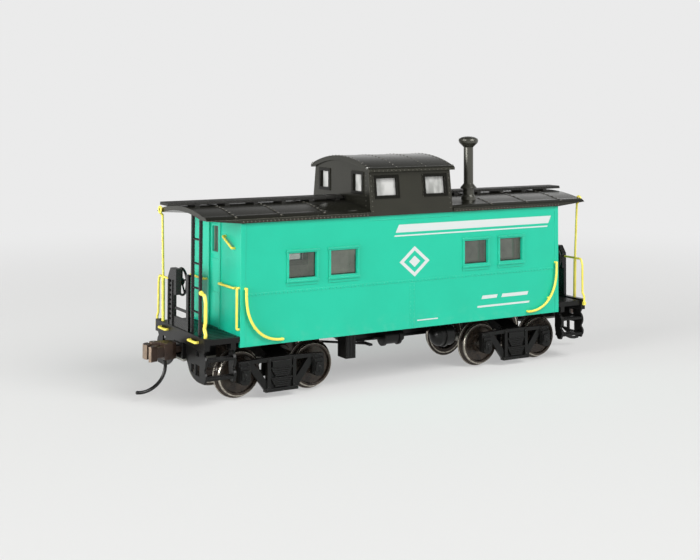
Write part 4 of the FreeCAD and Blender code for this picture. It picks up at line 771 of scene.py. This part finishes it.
# ---- steps, platforms and trucks ----------------------------------------------------------
def step_ribs():
    """Grip ribs along the step treads."""
    ribs = Relief("step_tread_ribs")
    for name in ("step_a_left", "step_a_right", "step_b_left", "step_b_right"):
        tree = surface_of(name)
        low, high = box_mm(name)
        end = math.copysign(1.0, (low + high).x)
        side = math.copysign(1.0, (low + high).y)
        x0, x1 = min(abs(low.x), abs(high.x)) + 0.75, max(abs(low.x), abs(high.x)) - 0.95
        outer_y = max(abs(low.y), abs(high.y)) - 0.5
        z = (low.z + high.z) / 2 + 2.0
        while z > low.z:
            found = touch(tree, (end * (x0 + x1) / 2, side * (outer_y - 0.6), z), (0, 0, -1))
            if found is None:
                break
            point, normal = found
            if normal.z > 0.9 and point.z < high.z - 2:
                for i in range(4):
                    y = side * (outer_y - 0.1 - 0.55 * i)
                    ribs.bar((end * x0, y - 0.1, point.z - 0.05),
                             (end * x1, y + 0.1, point.z + 0.1))
            z = point.z - 0.7
    ribs.finish("car", "frame_black", bevel=0.03)


def platform_planks():
    """Raised plank edges across the end platforms."""
    planks = Relief("platform_planks")
    tree = surface_of("underframe")
    for end in (-1, 1):
        for y in spaced(-13.6, 13.6, 1.7):
            point, _ = touch(tree, (end * (end_face + 4), y, 20), (0, 0, -1))
            planks.bar((end * (end_face + 0.6), y - 0.62, point.z - 0.05),
                       (end * (end_face + 7.6), y + 0.62, point.z + 0.09))
    planks.finish("car", "frame_black", bevel=0.04)


def truck_bolts(letter):
    """Bolt heads and lid hinges on both side frames of a truck."""
    node = "truck_frame_" + letter
    tree = surface_of(node)
    low, high = box_mm(node)
    middle_x = (low.x + high.x) / 2
    wheel_low, wheel_high = box_mm("wheels_" + letter + "1")
    axle = (wheel_low + wheel_high) / 2
    offset = abs(axle.x - middle_x)
    bolts = Relief("truck_bolts_" + letter)
    for side in (-1, 1):
        for end in (-1, 1):
            spots = [(3.45, 2.0), (3.45, 8.2), (offset - 0.95, 8.25), (offset + 0.95, 8.25),
                     (4.1, 1.3)]
            for x, z in spots:
                found = touch(tree, (middle_x + end * x, side * 60, z), (0, -side, 0))
                if found and abs(found[1].y) > 0.8:
                    bolts.bolt(*found, 0.26, 0.2, turn_angle=x)
            # lid of the axle box: hinge bar on top and a latch below
            lid_x = middle_x + end * offset
            face = touch(tree, (lid_x, side * 60, axle.z), (0, -side, 0))[0].y
            bolts.bar((lid_x - 0.85, face - side * 0.25, axle.z + 1.0),
                      (lid_x + 0.85, face + side * 0.16, axle.z + 1.35))
            bolts.bar((lid_x - 0.2, face - side * 0.2, axle.z - 1.1),
                      (lid_x + 0.2, face + side * 0.14, axle.z - 0.6))
            bolts.head(Vector((lid_x, face, axle.z + 0.1)), (0, side, 0), 0.5, 0.16, sides=16)
    bolts.finish("truck_" + letter, "frame_black")


step_ribs()
platform_planks()
for letter in "ab":
    truck_bolts(letter)


# ---- floor, light and camera --------------------------------------------------------------
def make_floor():
    """Pale floor that fades into the backdrop away from the model."""
    level = cad_box[0][2]
    bpy.ops.mesh.primitive_plane_add(size=12.0, location=(0, 0, level))
    floor = bpy.context.object
    floor.name = "floor"
    f = Finish("floor")
    distance = f.vector("LENGTH", f.place)
    tone = f.mix(f.noise(120.0, 3.0), srgb(233, 233, 231), srgb(230, 230, 228))
    matt = f.add("BsdfDiffuse", {"Color": tone}).outputs[0]
    glow = f.add("Emission", {"Color": (BACKDROP, BACKDROP, BACKDROP, 1)}).outputs[0]
    mixed = f.add("MixShader", {0: f.fade(distance, 100.0, 380.0, 0.46), 1: matt, 2: glow})
    floor.data.materials.append(f.output(mixed.outputs[0]))


def make_surroundings():
    """Even white surroundings, darker overhead, with the backdrop's own shade for the camera."""
    world = bpy.data.worlds.new("studio")
    scene.world = world
    world.use_nodes = True
    tree = world.node_tree
    tree.nodes.clear()

    def add(kind, **inputs):
        node = tree.nodes.new("ShaderNode" + kind)
        for key, value in inputs.items():
            socket = node.inputs[key.replace("_", " ")]
            if isinstance(value, bpy.types.NodeSocket):
                tree.links.new(value, socket)
            else:
                socket.default_value = value
        return node

    direction = add("SeparateXYZ", Vector=add("TexCoord").outputs["Generated"])
    overhead = add("MapRange", Value=direction.outputs["Z"], From_Min=0.12, From_Max=0.55,
                   To_Min=0.95, To_Max=0.2)
    overhead.interpolation_type = "SMOOTHSTEP"
    # the far side is dim on the left and bright on the right, which the roofs mirror
    is_behind = add("MapRange", Value=direction.outputs["Y"], From_Min=-0.1, From_Max=0.4)
    sideways = add("MapRange", Value=direction.outputs["X"], From_Min=0.36, From_Max=0.62,
                   To_Min=0.3, To_Max=1.35)
    behind = add("Mix", Factor=is_behind.outputs["Result"])
    behind.inputs[2].default_value = 1.0
    tree.links.new(sideways.outputs["Result"], behind.inputs[3])
    around = tree.nodes.new("ShaderNodeMath")
    around.operation = "MULTIPLY"
    tree.links.new(overhead.outputs["Result"], around.inputs[0])
    tree.links.new(behind.outputs[0], around.inputs[1])
    seen = add("LightPath").outputs["Is Camera Ray"]
    strength = add("Mix", Factor=seen)
    tree.links.new(around.outputs[0], strength.inputs[2])
    strength.inputs[3].default_value = BACKDROP
    background = add("Background", Color=(1, 1, 1, 1), Strength=strength.outputs[0])
    output = tree.nodes.new("ShaderNodeOutputWorld")
    tree.links.new(background.outputs[0], output.inputs["Surface"])


def softbox(name, place, target, size, power):
    """Square area light facing the target."""
    data = bpy.data.lights.new(name, "AREA")
    data.shape = "SQUARE"
    data.size = size
    data.energy = power
    lamp = bpy.data.objects.new(name, data)
    scene.collection.objects.link(lamp)
    lamp.location = place
    lamp.rotation_euler = (Vector(target) - Vector(place)).to_track_quat("-Z", "Y").to_euler()
    lamp.visible_camera = False


def make_camera():
    """Camera at a low three-quarter view of the A end, with a level-shifted frame."""
    yaw = math.radians(CAMERA_YAW)
    pitch = math.radians(CAMERA_PITCH)
    roll = math.radians(CAMERA_ROLL)
    ahead = Vector((math.sin(yaw) * math.cos(pitch), math.cos(yaw) * math.cos(pitch),
                    math.sin(pitch)))
    level_right = Vector((math.cos(yaw), -math.sin(yaw), 0))
    level_up = level_right.cross(ahead)
    right = level_right * math.cos(roll) + level_up * math.sin(roll)
    up = level_up * math.cos(roll) - level_right * math.sin(roll)
    data = bpy.data.cameras.new("camera")
    data.lens = CAMERA_LENS
    data.sensor_width = 36.0
    data.clip_start = 0.01
    camera = bpy.data.objects.new("camera", data)
    scene.collection.objects.link(camera)
    place = Matrix((right, up, -ahead)).transposed().to_4x4()
    place.translation = Vector(CAMERA_PLACE)
    camera.matrix_world = place
    scene.camera = camera
    home = bpy.data.objects.new("camera_home", None)
    scene.collection.objects.link(home)
    home.location = place.translation
    # the frame is shifted at this one place only; from any other place it stays centred
    for key, shift in CAMERA_SHIFT.items():
        curve = data.driver_add(key)
        curve.modifiers.remove(curve.modifiers[0])
        curve.driver.type = "AVERAGE"
        away = curve.driver.variables.new()
        away.type = "LOC_DIFF"
        away.targets[0].id = camera
        away.targets[1].id = home
        curve.keyframe_points.add(2)
        corners = ((SHIFT_HELD, shift), (SHIFT_GONE, 0.0))
        for point, corner in zip(curve.keyframe_points, corners):
            point.co = corner
            point.interpolation = "LINEAR"


make_floor()
make_surroundings()
softbox("key", (0.25, -0.75, 0.75), (0, 0, 0.03), 0.6, 9.0)
softbox("fill", (-0.8, -0.1, 0.17), (0, 0, 0.03), 0.5, 8.5)
make_camera()
scene.view_settings.view_transform = "Standard"
